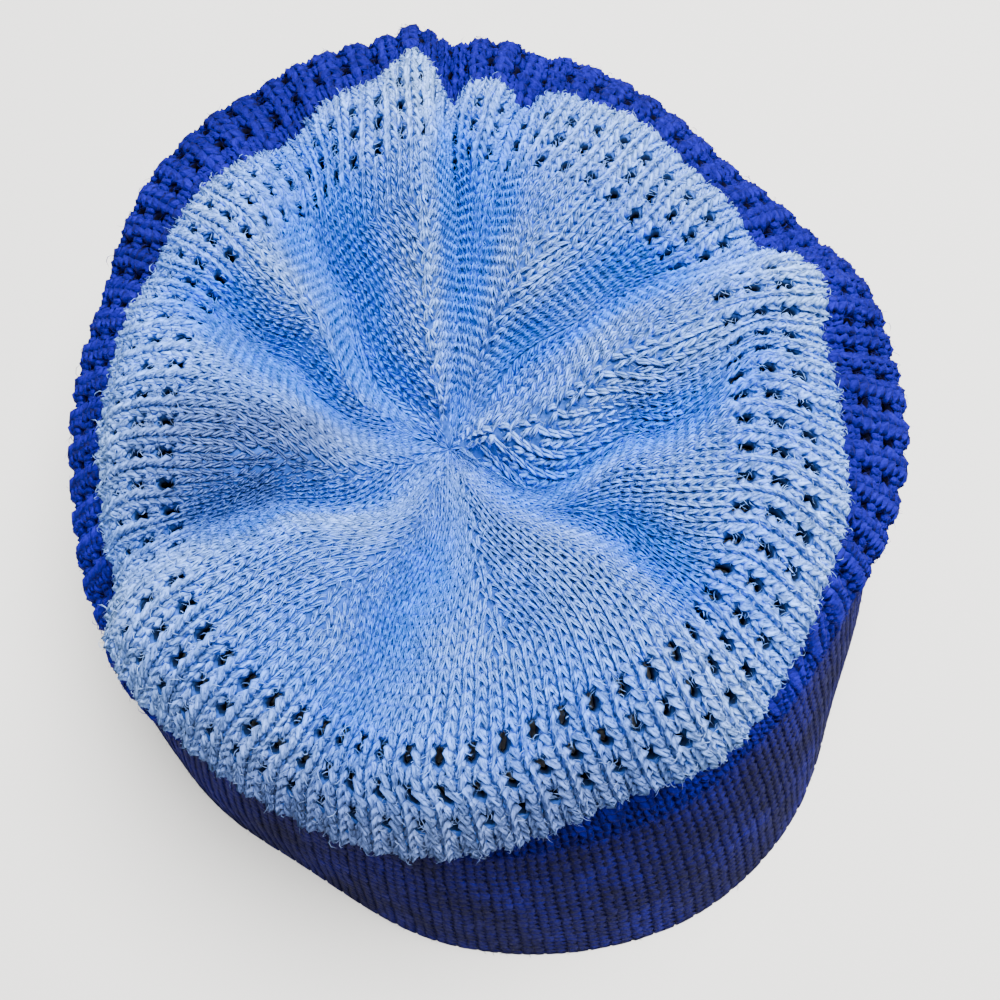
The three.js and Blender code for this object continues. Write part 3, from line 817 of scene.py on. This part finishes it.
def uneven(tree, geometry, given):
    """Leans each stitch as its column runs, and pushes the yarn about as hand knitting is."""
    place = add_node(tree, SEPARATE, Vector=add_node(tree, POSITION))
    middle = add_node(tree, SEPARATE, Vector=add_node(tree, NAMED, VECTOR, Name="middle"))
    rise = add_node(tree, MATH, "SUBTRACT", place.outputs["Y"], middle.outputs["Y"])
    lean = add_node(tree, MATH, "MULTIPLY", rise, middle.outputs["Z"])
    height = add_node(tree, MATH, "MULTIPLY", place.outputs["Z"], HEIGHT_IN_WAVES)
    at = add_node(tree, COMBINE, X=place, Y=place.outputs["Y"], Z=height)
    near = add_node(tree, NOISE, Vector=at, Scale=NEAR_UNEVEN, Detail=1.0)
    wide = add_node(tree, NOISE, Vector=at, Scale=WIDE_UNEVEN, Detail=0.0)
    both = add_node(tree, VECTOR_MATH, "ADD", near.outputs["Color"], wide.outputs["Color"])
    centred = add_node(tree, VECTOR_MATH, "SUBTRACT", both, (1.0, 1.0, 1.0))
    push = add_node(tree, VECTOR_MATH, "MULTIPLY", centred, given["Unevenness"])
    leaning = add_node(tree, COMBINE, X=lean)
    offset = add_node(tree, VECTOR_MATH, "ADD", push, leaning)
    return add_node(tree, SET_POSITION, Geometry=geometry, Offset=offset)


def wrap_on_cloth(tree, geometry, given):
    """Moves flat geometry on the cloth: x and y choose the place, z stands out from it. The
    cloth's directions are kept on the result, for the fibres."""
    cloth = add_node(tree, "GeometryNodeObjectInfo", Object=given["Cloth"])
    position = add_node(tree, POSITION)
    flat = add_node(tree, SEPARATE, Vector=position)
    row = add_node(tree, "ShaderNodeClamp", Value=flat.outputs["Y"], Min=EDGE_OF_FLAT,
                   Max=HEM_ROW - EDGE_OF_FLAT)
    shifted = add_node(tree, MATH, "ADD", flat.outputs["X"], float(MARGIN_WALES))
    u = add_node(tree, MATH, "DIVIDE", shifted, float(FLAT_TURN))
    v = add_node(tree, MATH, "DIVIDE", row, float(HEM_ROW))
    uv = add_node(tree, COMBINE, X=u, Y=v)
    uv_map = add_node(tree, NAMED, VECTOR, Name="flat")
    kinds = {"place": VECTOR, "out": VECTOR, "down": VECTOR, "tone": {}, "worn": {}}
    sampled = {}
    for name, kind in kinds.items():
        value = position if name == "place" else add_node(tree, NAMED, kind, Name=name)
        sampled[name] = add_node(tree, "GeometryNodeSampleUVSurface", kind, UV_Map=uv_map,
                                 Mesh=cloth.outputs["Geometry"], Value=value, Sample_UV=uv)
    height = add_node(tree, MATH, "SUBTRACT", flat.outputs["Z"], given["Sink"])
    lift = add_node(tree, VECTOR_MATH, "SCALE", sampled["out"], Scale=height)
    target = add_node(tree, VECTOR_MATH, "ADD", sampled["place"], lift)
    sampled["place"] = add_node(tree, VECTOR_MATH, "MAXIMUM", target, NOT_IN_TABLE)
    for name, kind in kinds.items():
        geometry = add_node(tree, STORE, kind, Geometry=geometry, Name=name,
                            Value=sampled[name])
    known = add_node(tree, NAMED, VECTOR, Name="place")
    return add_node(tree, SET_POSITION, Geometry=geometry, Position=known)


def unit_fibre(tree, given):
    """One bent fibre of length one along z, pointed at both ends."""
    bent = add_node(tree, COMBINE, X=given["Bend"], Z=0.5)
    line = add_node(tree, BEZIER, Resolution=FIBRE_SEGMENTS, Start=(0.0, 0.0, 0.0),
                    Middle=bent, End=(0.0, 0.0, 1.0))
    along = add_node(tree, "GeometryNodeSplineParameter")
    swell = add_node(tree, MATH, "SINE", add_node(tree, MATH, "MULTIPLY", along, math.pi))
    width = add_node(tree, MATH, "DIVIDE", given["Thickness"], given["Length"])
    profile = add_node(tree, CIRCLE, Resolution=FIBRE_SIDES, Radius=1.0)
    fibre = add_node(tree, SWEEP, Curve=line, Profile_Curve=profile,
                     Scale=add_node(tree, MATH, "MULTIPLY", swell, width))
    return add_node(tree, MERGE, Geometry=fibre, Distance=END_MERGE)


def fibre_turn(tree, given, swing_seed, spin_seed, chance):
    """Lays a fibre down the knit and somewhat aside. A few with a high chance stand well off."""
    out = add_node(tree, NAMED, VECTOR, Name="out")
    down = add_node(tree, NAMED, VECTOR, Name="down")
    least = add_node(tree, MATH, "MULTIPLY", given["Spread"], -1.0)
    swing = add_node(tree, RANDOM, Min=least, Max=given["Spread"], Seed=swing_seed)
    sideways = add_node(tree, VECTOR_MATH, "CROSS_PRODUCT", out, down)
    aside = add_node(tree, VECTOR_MATH, "SCALE", sideways, Scale=swing)
    lie = add_node(tree, VECTOR_MATH, "ADD", down, aside)
    few = add_node(tree, MATH, "POWER", chance, 2.0)
    lift = add_node(tree, MATH, "MULTIPLY", few, given["Lift"])
    raised = add_node(tree, MATH, "ADD", lift, LEAST_LIFT)
    off = add_node(tree, VECTOR_MATH, "SCALE", out, Scale=raised)
    way = add_node(tree, VECTOR_MATH, "ADD", lie, off)
    spin = add_node(tree, RANDOM, Max=2 * math.pi, Seed=spin_seed)
    spun = add_node(tree, "FunctionNodeAxisAngleToRotation", Angle=spin)
    return add_node(tree, "FunctionNodeAlignRotationToVector", {"axis": "Z"}, Rotation=spun,
                    Vector=way)


def fuzz_tree():
    """Brushed fibres on the yarn's outward side, most of them lying down the knit and some of them
    standing off it."""
    tree, given = new_tree("yarn_fuzz", (
        ("Density", "Float", 1e6), ("Length", "Float", 0.0021), ("Thickness", "Float", 0.00007),
        ("Spread", "Float", 1.1), ("Lift", "Float", 0.6), ("Bend", "Float", 0.2),
        ("Seed", "Int", 1), ("Material", "Material", None)))
    facing = add_node(tree, VECTOR_MATH, "DOT_PRODUCT", add_node(tree, "GeometryNodeInputNormal"),
                      add_node(tree, NAMED, VECTOR, Name="out"))
    outward = add_node(tree, "FunctionNodeCompare", "GREATER_THAN", facing.outputs["Value"],
                       OUTWARD)
    roots = add_node(tree, "GeometryNodeDistributePointsOnFaces", Mesh=given["Geometry"],
                     Selection=outward, Density=given["Density"], Seed=given["Seed"])

    swing_seed, chance_seed, spin_seed, length_seed, shade_seed = (
        add_node(tree, MATH, "ADD", given["Seed"], float(n)) for n in range(1, 6))
    chance = add_node(tree, RANDOM, Seed=chance_seed)
    vary = add_node(tree, RANDOM, Min=FIBRE_LENGTHS[0], Max=FIBRE_LENGTHS[1], Seed=length_seed)
    length = add_node(tree, MATH, "MULTIPLY", vary, given["Length"])
    finer = add_node(tree, MATH, "SUBTRACT", LYING_GIRTH, chance)    # the more it stands off
    girth = add_node(tree, MATH, "MULTIPLY", finer, given["Length"])
    placed = add_node(tree, SCATTER, Points=roots, Instance=unit_fibre(tree, given),
                      Rotation=fibre_turn(tree, given, swing_seed, spin_seed, chance),
                      Scale=add_node(tree, COMBINE, X=girth, Y=girth, Z=length))
    placed = add_node(tree, STORE, {"domain": "INSTANCE"}, Geometry=placed, Name="shade",
                      Value=add_node(tree, RANDOM, Seed=shade_seed))
    real = add_node(tree, REALIZE, Geometry=placed)
    over_table = add_node(tree, VECTOR_MATH, "MAXIMUM", add_node(tree, POSITION), NOT_IN_TABLE)
    real = add_node(tree, SET_POSITION, Geometry=real, Position=over_table)
    done = add_node(tree, SET_MATERIAL, Geometry=real, Material=given["Material"])
    add_node(tree, "NodeGroupOutput", Geometry=done)
    return tree


def grow(name, base, tree, settings):
    """Runs a tree on a base object and keeps the result as a plain mesh of its own."""
    modifier = base.modifiers.new(tree.name, "NODES")
    modifier.node_group = tree
    for item in tree.interface.items_tree:
        if item.in_out == "INPUT" and item.name in settings:
            modifier[item.identifier] = settings[item.name]
    depsgraph = bpy.context.evaluated_depsgraph_get()
    mesh = bpy.data.meshes.new_from_object(base.evaluated_get(depsgraph))
    base.modifiers.remove(modifier)
    mesh.name = name
    obj = bpy.data.objects.new(name, mesh)
    bpy.context.scene.collection.objects.link(obj)
    return obj


# ---- the cloth wall behind the stitches --------------------------------------------------------
BACKING_DEPTH = 0.85                   # mm from the knit's surface in to its outer face
BAND_BACKING_DEPTH = 0.25              # and in the band, which is stretched flat
BACKING_LINES_PER_WALE = 2
HOLE_HALF_WALES = 0.26                 # half-sizes of an eyelet
HOLE_HALF_ROWS = 0.85
EYELET_PAINTED_SHADOW = 0.08                    # painted shadow: how bright the cloth is at an eyelet's rim
SAME_PLACE = 1e-6                      # metres within which two points are one
KEPT_ATTRIBUTES = ("material_index", "sharp_face", "sharp_edge")


def keep_attributes(mesh, names):
    """Drops what the trees needed and the materials don't."""
    spare = [a.name for a in mesh.attributes
             if not (a.is_required or a.is_internal or a.name in names + KEPT_ATTRIBUTES)]
    for name in spare:
        mesh.attributes.remove(mesh.attributes[name])


def eyelet_grid(row_lines):
    """Wales, rows and painted shadow at the wall's points, with those round each eyelet moved to
    its rim, and which cells the eyelets open."""
    per = BACKING_LINES_PER_WALE
    wales = np.arange(WALES * per) / per
    wale, row = np.meshgrid(wales, row_lines, indexing="ij")
    shade = np.ones_like(wale)
    open_cells = np.zeros((len(wales), len(row_lines) - 1), bool)
    columns = np.arange(WALES // 2) * 2 * per + per * 3 // 2    # middles of the eyelet columns
    for middle in (eyelet_row + 0.5 for eyelet_row in EYELET_ROWS):
        at = np.flatnonzero(np.isclose(row_lines, middle))
        if not len(at) or at[0] in (0, len(row_lines) - 1):
            continue
        j = at[0]
        for di in (-1, 0, 1):
            for dj in (-1, 0, 1):
                size = 1 if di == 0 or dj == 0 else math.sqrt(0.5)
                i = (columns + di) % len(wales)
                wale[i, j + dj] = columns / per + di * size * HOLE_HALF_WALES
                row[i, j + dj] = middle + dj * size * HOLE_HALF_ROWS
                shade[i, j + dj] = EYELET_PAINTED_SHADOW
        for di in (-1, 0):
            open_cells[(columns + di) % len(wales), j - 1:j + 1] = True
    return wale, row, shade, open_cells


def wall_faces(outer, inner, open_cells, closed_tip):
    """Faces of a closed wall from the grids of its outer and inner points, round the hat and
    down it: two faces for each cell, and one across the wall along every open edge."""
    faces, edges = [], {}
    count_u, count_v = outer.shape
    for i in range(count_u):
        k = (i + 1) % count_u
        for j in range(count_v - 1):
            if open_cells[i, j]:
                continue
            faces.append((outer[i, j], outer[i, j + 1], outer[k, j + 1], outer[k, j]))
            faces.append((inner[i, j], inner[k, j], inner[k, j + 1], inner[i, j + 1]))
            corners = ((i, j), (i, j + 1), (k, j + 1), (k, j))
            for a, b in zip(corners, corners[1:] + corners[:1]):
                if (b, a) in edges:
                    del edges[(b, a)]
                else:
                    edges[(a, b)] = True
    for a, b in edges:
        if not (closed_tip and a[1] == 0 and b[1] == 0):
            faces.append((outer[b], outer[a], inner[a], inner[b]))
    return [tuple(int(x) for x in face) for face in faces]


def wall_object(name, first_row, last_row, row_lines, depth):
    """A closed wall of cloth between two rows, with every eyelet cut through it. depth is how
    far its outer face lies under the knit's surface."""
    wale, row, shade, open_cells = eyelet_grid(row_lines)
    row = np.clip(row, first_row, last_row)
    place, out, fold = cloth_point(wale, row)
    outer = place - out * depth
    inner = place - out * WALL
    closed_tip = first_row == 0
    if closed_tip:
        outer[:, 0] = outer[0, 0]
        inner[:, 0] = inner[0, 0]
    points = np.concatenate((outer.reshape(-1, 3), inner.reshape(-1, 3)))
    index = np.arange(wale.size).reshape(wale.shape)
    faces = wall_faces(index, index + wale.size, open_cells, closed_tip)
    obj = add_object(name, (points + AXIS_AT) * MM, faces)
    # painted light tone, and painted shadow round each eyelet
    tone = cloth_painted_light(row, fold)
    for attribute, values in (("tone", tone), ("shade", shade)):
        store(obj.data, attribute, "FLOAT", np.concatenate((values, values)))
    tidy_mesh(obj)
    return obj


def tidy_mesh(obj):
    """Merges doubled points and drops loose ones."""
    bm = bmesh.new()
    bm.from_mesh(obj.data)
    bmesh.ops.remove_doubles(bm, verts=bm.verts, dist=SAME_PLACE)
    bmesh.ops.delete(bm, geom=[v for v in bm.verts if not v.link_faces], context="VERTS")
    bm.to_mesh(obj.data)
    bm.free()


# ---- materials ---------------------------------------------------------------------------------
ATTRIBUTE = "ShaderNodeAttribute"
MAP_RANGE = "ShaderNodeMapRange"
MIX = "ShaderNodeMix"
PRINCIPLED = "ShaderNodeBsdfPrincipled"
OUTPUT = "ShaderNodeOutputMaterial"
RGBA = {"data_type": "RGBA"}

# Locks of fibre across a stitch, along a leg and through its depth. They are some 0.5 mm wide and
# 2 mm long, which is coarser than the real fibres, so that they show
LOCKS_PER_STITCH = (5.5, 1.5, 5.5)
LOCK_SHIFT = (37.0, 91.0, 53.0)        # gives each stitch locks of its own
LOCK_DEPTH = 0.0005                    # metres
CLOUDS_PER_METRE = 60.0                # patches of deeper and paler yarn, about 17 mm across
TUFTS_PER_METRE = 900.0                # of the matted back, about 1.1 mm across
TUFT_DEPTH = 0.0004
SHEEN = 0.02                           # brushed fibre is a touch paler where it turns away


def new_material(name):
    material = bpy.data.materials.new(name)
    material.use_nodes = True
    tree = material.node_tree
    tree.nodes.clear()
    return material, tree


def three_tones(tree, share, deep, pale, worn):
    """Deep to pale by the share, and to the grey of painted shade where painted shade lies."""
    body = add_node(tree, MIX, RGBA, Factor=share, A=linear(deep), B=linear(pale))
    where = add_node(tree, ATTRIBUTE, {"attribute_name": "worn"}).outputs["Fac"]
    return add_node(tree, MIX, RGBA, Factor=where, A=body, B=linear(worn))


def yarn_material(name, deep, pale, worn, sheen_tint):
    """Bulky spun acrylic, brushed so that it is matt: locks of fibre run along each leg, painted
    paler and darker as highlight and shade on the fibres, each stitch is a little lighter or
    darker than the next, and the yarn is painted deep in the folds as shade, pale on the ridges
    as highlight and greyer where painted shade falls."""
    material, tree = new_material(name)
    yarn = add_node(tree, ATTRIBUTE, {"attribute_name": "yarn"})
    shade = add_node(tree, ATTRIBUTE, {"attribute_name": "shade"}).outputs["Fac"]
    tone = add_node(tree, ATTRIBUTE, {"attribute_name": "tone"}).outputs["Fac"]
    shift = add_node(tree, VECTOR_MATH, "SCALE", LOCK_SHIFT, Scale=shade)
    vector = add_node(tree, VECTOR_MATH, "ADD", yarn.outputs["Vector"], shift)
    fine = add_node(tree, VECTOR_MATH, "MULTIPLY", vector, LOCKS_PER_STITCH)
    locks = add_node(tree, NOISE, Vector=fine, Scale=1.0, Detail=3.0, Roughness=0.65)
    # painted highlight and shade on the locks of fibre
    streak = add_node(tree, MAP_RANGE, Value=locks, From_Min=0.33, From_Max=0.64,
                      To_Min=0.4, To_Max=1.4)
    place = add_node(tree, "ShaderNodeTexCoord").outputs["Object"]
    cloud = add_node(tree, NOISE, Vector=place, Scale=CLOUDS_PER_METRE, Detail=3.0)
    blotch = add_node(tree, MAP_RANGE, Value=cloud, From_Min=0.3, From_Max=0.7,
                      To_Min=-0.25, To_Max=0.25)
    share = add_node(tree, MATH, {"operation": "ADD", "use_clamp": True}, tone, blotch)
    body = three_tones(tree, share, deep, pale, worn)
    each = add_node(tree, MAP_RANGE, Value=shade, To_Min=0.88, To_Max=1.1)
    value = add_node(tree, MATH, "MULTIPLY", streak, each)
    colour = add_node(tree, VECTOR_MATH, "SCALE", body, Scale=value)
    bump = add_node(tree, "ShaderNodeBump", Height=locks, Strength=1.0, Distance=LOCK_DEPTH)
    shader = add_node(tree, PRINCIPLED, Base_Color=colour, Roughness=0.95, Normal=bump,
                      Sheen_Weight=SHEEN, Sheen_Roughness=0.4, Sheen_Tint=linear(sheen_tint),
                      Specular_IOR_Level=0.1)
    add_node(tree, OUTPUT, Surface=shader)
    return material


def fibre_material(name, deep, pale, worn):
    """Loose ends of the same acrylic, so thin that light comes through them: they look a little
    paler than the yarn, and veil it."""
    material, tree = new_material(name)
    tone = add_node(tree, ATTRIBUTE, {"attribute_name": "tone"}).outputs["Fac"]
    shade = add_node(tree, ATTRIBUTE, {"attribute_name": "shade"}).outputs["Fac"]
    body = three_tones(tree, tone, deep, pale, worn)
    value = add_node(tree, MAP_RANGE, Value=shade, To_Min=0.55, To_Max=1.35)
    colour = add_node(tree, VECTOR_MATH, "SCALE", body, Scale=value)
    shader = add_node(tree, PRINCIPLED, Base_Color=colour, Roughness=0.9, Sheen_Weight=SHEEN,
                      Specular_IOR_Level=0.1)
    add_node(tree, OUTPUT, Surface=shader)
    return material


def painted_shade_backing_material(name, deep, pale):
    """The matted back of the same knit, seen deep between the stitches and from inside. Its colours
    are darker than the yarn's as painted shade, and darkest round the eyelets as painted shadow,
    so the stitches stand out in front of it."""
    material, tree = new_material(name)
    place = add_node(tree, "ShaderNodeTexCoord").outputs["Object"]
    tone = add_node(tree, ATTRIBUTE, {"attribute_name": "tone"}).outputs["Fac"]
    shade = add_node(tree, ATTRIBUTE, {"attribute_name": "shade"}).outputs["Fac"]
    tufts = add_node(tree, NOISE, Vector=place, Scale=TUFTS_PER_METRE, Detail=3.0)
    body = add_node(tree, MIX, RGBA, Factor=tone, A=linear(deep), B=linear(pale))
    dark = add_node(tree, MAP_RANGE, Value=tufts, From_Min=0.3, From_Max=0.7,
                    To_Min=0.5, To_Max=1.1)
    # painted shadow round the eyelets
    value = add_node(tree, MATH, "MULTIPLY", dark, shade)
    colour = add_node(tree, VECTOR_MATH, "SCALE", body, Scale=value)
    bump = add_node(tree, "ShaderNodeBump", Height=tufts, Strength=0.8, Distance=TUFT_DEPTH)
    shader = add_node(tree, PRINCIPLED, Base_Color=colour, Roughness=1.0, Normal=bump,
                      Specular_IOR_Level=0.1)
    add_node(tree, OUTPUT, Surface=shader)
    return material


# ---- camera, light and table -------------------------------------------------------------------
CAMERA_ELEVATION = 72.4                # degrees above the table
CAMERA_DISTANCE = 240.0
CAMERA_LENS = 36.0
AIM_FROM_AXIS = (9.5, 6.5)             # the point on the table that it looks at
LIGHT_AIM = (0.0, 0.0, 0.03)           # metres: the middle of the hat
SKY_COLOUR = (0.86, 0.93, 1.0, 1.0)    # faint cool daylight from all round
SKY_STRENGTH = 0.24
FLOOR_REACH = 3.0                      # metres from the middle to each side


def make_camera():
    data = bpy.data.cameras.new("camera")
    data.lens = CAMERA_LENS
    data.sensor_width = 36.0
    data.clip_start, data.clip_end = 0.01, 10.0
    camera = bpy.data.objects.new("camera", data)
    bpy.context.scene.collection.objects.link(camera)
    tilt = math.radians(CAMERA_ELEVATION)
    x, y = (AXIS_AT[c] + AIM_FROM_AXIS[c] for c in (0, 1))
    camera.location = Vector((x, y - CAMERA_DISTANCE * math.cos(tilt),
                              CAMERA_DISTANCE * math.sin(tilt))) * MM
    camera.rotation_euler = (math.pi / 2 - tilt, 0, 0)
    bpy.context.scene.camera = camera


def make_light(name, size, energy, place):
    data = bpy.data.lights.new(name, "AREA")
    data.shape = "DISK"
    data.size = size
    data.energy = energy
    light = bpy.data.objects.new(name, data)
    light.location = place
    way = Vector(LIGHT_AIM) - Vector(place)
    light.rotation_euler = way.to_track_quat("-Z", "Y").to_euler()
    bpy.context.scene.collection.objects.link(light)


def make_studio():
    make_light("soft_key_from_above", size=0.8, energy=48.0, place=(0.2, 0.2, 1.0))
    world = bpy.data.worlds.new("studio")
    world.use_nodes = True
    background = world.node_tree.nodes["Background"]
    background.inputs["Color"].default_value = SKY_COLOUR
    background.inputs["Strength"].default_value = SKY_STRENGTH
    bpy.context.scene.world = world
    ring = ((-1, -1), (1, -1), (1, 1), (-1, 1))
    corners = [(x * FLOOR_REACH, y * FLOOR_REACH, 0) for x, y in ring]
    floor = add_object("floor", corners, [(0, 1, 2, 3)])
    # Uncoated paper: it has no gloss, and shows the hat's soft shadow
    material, tree = new_material("matt_pale_paper")
    shader = add_node(tree, PRINCIPLED, Base_Color=linear("#E2E0DC"), Roughness=0.9)
    add_node(tree, OUTPUT, Surface=shader)
    floor.data.materials.append(material)


# ---- putting the hat together ------------------------------------------------------------------
# Inputs of the stitch tree for each knit, in the unit stitch. Twist is in radians, Sink in metres
# and Unevenness in wales, rows and metres.
CROWN_LEGS = {"Leg Radius": 0.24, "Apex Gap": 0.05, "Arm Spread": 0.42, "Arch": 0.09,
              "Overlap": 0.36}
LACE_LEGS = {**CROWN_LEGS, "Leg Radius": 0.27, "Arm Spread": 0.38, "Overlap": 0.33,
             "Ply Radius": 0.62, "Ply Place": 0.42, "Twist": 1.8}
ONE_PLY = {"Plies": 1, "Sides": 4, "Ply Place": 0.0, "Ply Radius": 1.0}
WALL_LEGS = {**ONE_PLY, "Leg Radius": 0.31, "Arm Spread": 0.33, "Arch": 0.02,
             "Overlap": 0.35, "Sink": 0.0005}
BAND_LEGS = {**ONE_PLY, "Leg Radius": 0.33, "Apex Gap": 0.22, "Arm Spread": 0.28,
             "Arch": 0.02, "Overlap": 0.45, "Sink": 0.0001,
             "Unevenness": (0.2, 0.35, 0.0002)}

# Inputs of the fuzz tree: fibres on a square metre of yarn, thickness and length in metres, and how
# far the fibres turn aside, stand off and curve
LYING = {"Density": 0.60e6, "Thickness": 0.00005, "Length": 0.0019, "Spread": 1.3,
         "Lift": 0.55, "Bend": 0.45}
PILLED = {"Density": 0.42e6, "Thickness": 0.00006, "Length": 0.0018, "Spread": 2.6,
          "Lift": 0.75, "Bend": 0.8}
PUFFED = {"Density": 0.46e6, "Thickness": 0.00006, "Length": 0.0021, "Spread": 2.8,
          "Lift": 0.95, "Bend": 0.8}
DOWNY = {"Density": 0.2e6, "Thickness": 0.00005, "Length": 0.0015, "Spread": 0.8, "Lift": 0.5}

FIRST_SEED, SEED_STEP = 21, 10         # each knit's own seed, and the next one for its fibres
FEW_LINES = 8                          # lines along a wall where it is smooth
FEW_LINES_TO = 23                      # on the crown they end at this row
FINE_LINES_FROM = 26                   # and the lines for its eyelets start here
LINE_STEP = 0.5                        # rows between those
READ_BY_MATERIALS = ("yarn", "shade", "tone", "worn")


# Each yarn's deep and pale colours carry painted shade and highlight, the third is the grey of
# painted shade, and each back is darker as painted shade
def light_materials():
    return (
        yarn_material("light_blue_brushed_acrylic", "#1C74F6", "#84AEF4", "#4C5A8C", "#DCE6FF"),
        fibre_material("light_blue_loose_fibre", "#3488FC", "#98BCF8", "#62719E"),
        painted_shade_backing_material("light_blue_knit_back_in_painted_shade", "#1A48A4", "#3664BC"))


def royal_materials():
    return (
        yarn_material("royal_blue_brushed_acrylic", "#050238", "#140A8C", "#140A8C", "#8E9CFF"),
        fibre_material("royal_blue_loose_fibre", "#07033E", "#160C92", "#160C92"),
        painted_shade_backing_material("royal_blue_knit_back_in_painted_shade", "#050234", "#10086C"))


def finish_piece(obj):
    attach(obj, "root")


def knit_plan():
    """For each node: its slot, first and last row, its wall's lines and depth, its materials, and
    its knits, each as (name, stitches, legs, fibres)."""
    light, royal = light_materials(), royal_materials()
    crown_lines = np.concatenate((np.linspace(0, FEW_LINES_TO, FEW_LINES),
                                  np.arange(FINE_LINES_FROM, EDGE_ROW + LINE_STEP, LINE_STEP)))
    lace_lines = np.arange(EDGE_ROW, WAIST_ROW + LINE_STEP, LINE_STEP)
    band_lines = np.linspace(WAIST_ROW, HEM_ROW, FEW_LINES)
    plain_crown = crown_stitches(0, FIRST_LACE_ROW)
    eyelet_crown = crown_stitches(FIRST_LACE_ROW, EDGE_ROW)
    return (
        ("crown", "light_blue_knit", (0, EDGE_ROW, crown_lines, BACKING_DEPTH), light, (
            ("crown_plain_knit", plain_crown, CROWN_LEGS, LYING),
            ("crown_eyelet_knit", eyelet_crown, LACE_LEGS, PILLED))),
        ("lace_wall", "royal_blue_lace_knit", (EDGE_ROW, WAIST_ROW, lace_lines, BACKING_DEPTH),
         royal, (
            ("lace_wall_knit", lace_wall_stitches(), WALL_LEGS, PUFFED),)),
        ("brim_band", "royal_blue_plain_knit", (WAIST_ROW, HEM_ROW, band_lines, BAND_BACKING_DEPTH),
         royal, (
            ("brim_band_knit", band_stitches(), BAND_LEGS, DOWNY),)),
    )


def main():
    make_camera()
    make_studio()
    cloth = make_cloth()
    stitches = stitch_tree()
    fuzz = fuzz_tree()
    seed = FIRST_SEED
    for node, slot, lines, (yarn, fibre, back), knits in knit_plan():
        wall = wall_object(node + "_cloth", *lines)
        wall.data.materials.append(back)
        finish_piece(wall)
        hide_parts(node)
        for name, layout, legs, fibres in knits:
            points = layout_object(name + "_layout", layout)
            knit = grow(name, points, stitches,
                        {"Cloth": cloth, "Seed": seed, "Material": yarn, **legs})
            loose = grow(name.replace("knit", "fuzz"), knit, fuzz,
                         {"Seed": seed + 1, "Material": fibre, **fibres})
            bpy.data.objects.remove(points)
            for piece in (knit, loose):
                keep_attributes(piece.data, READ_BY_MATERIALS)
                finish_piece(piece)
            seed += SEED_STEP
    bpy.data.objects.remove(cloth)


main()
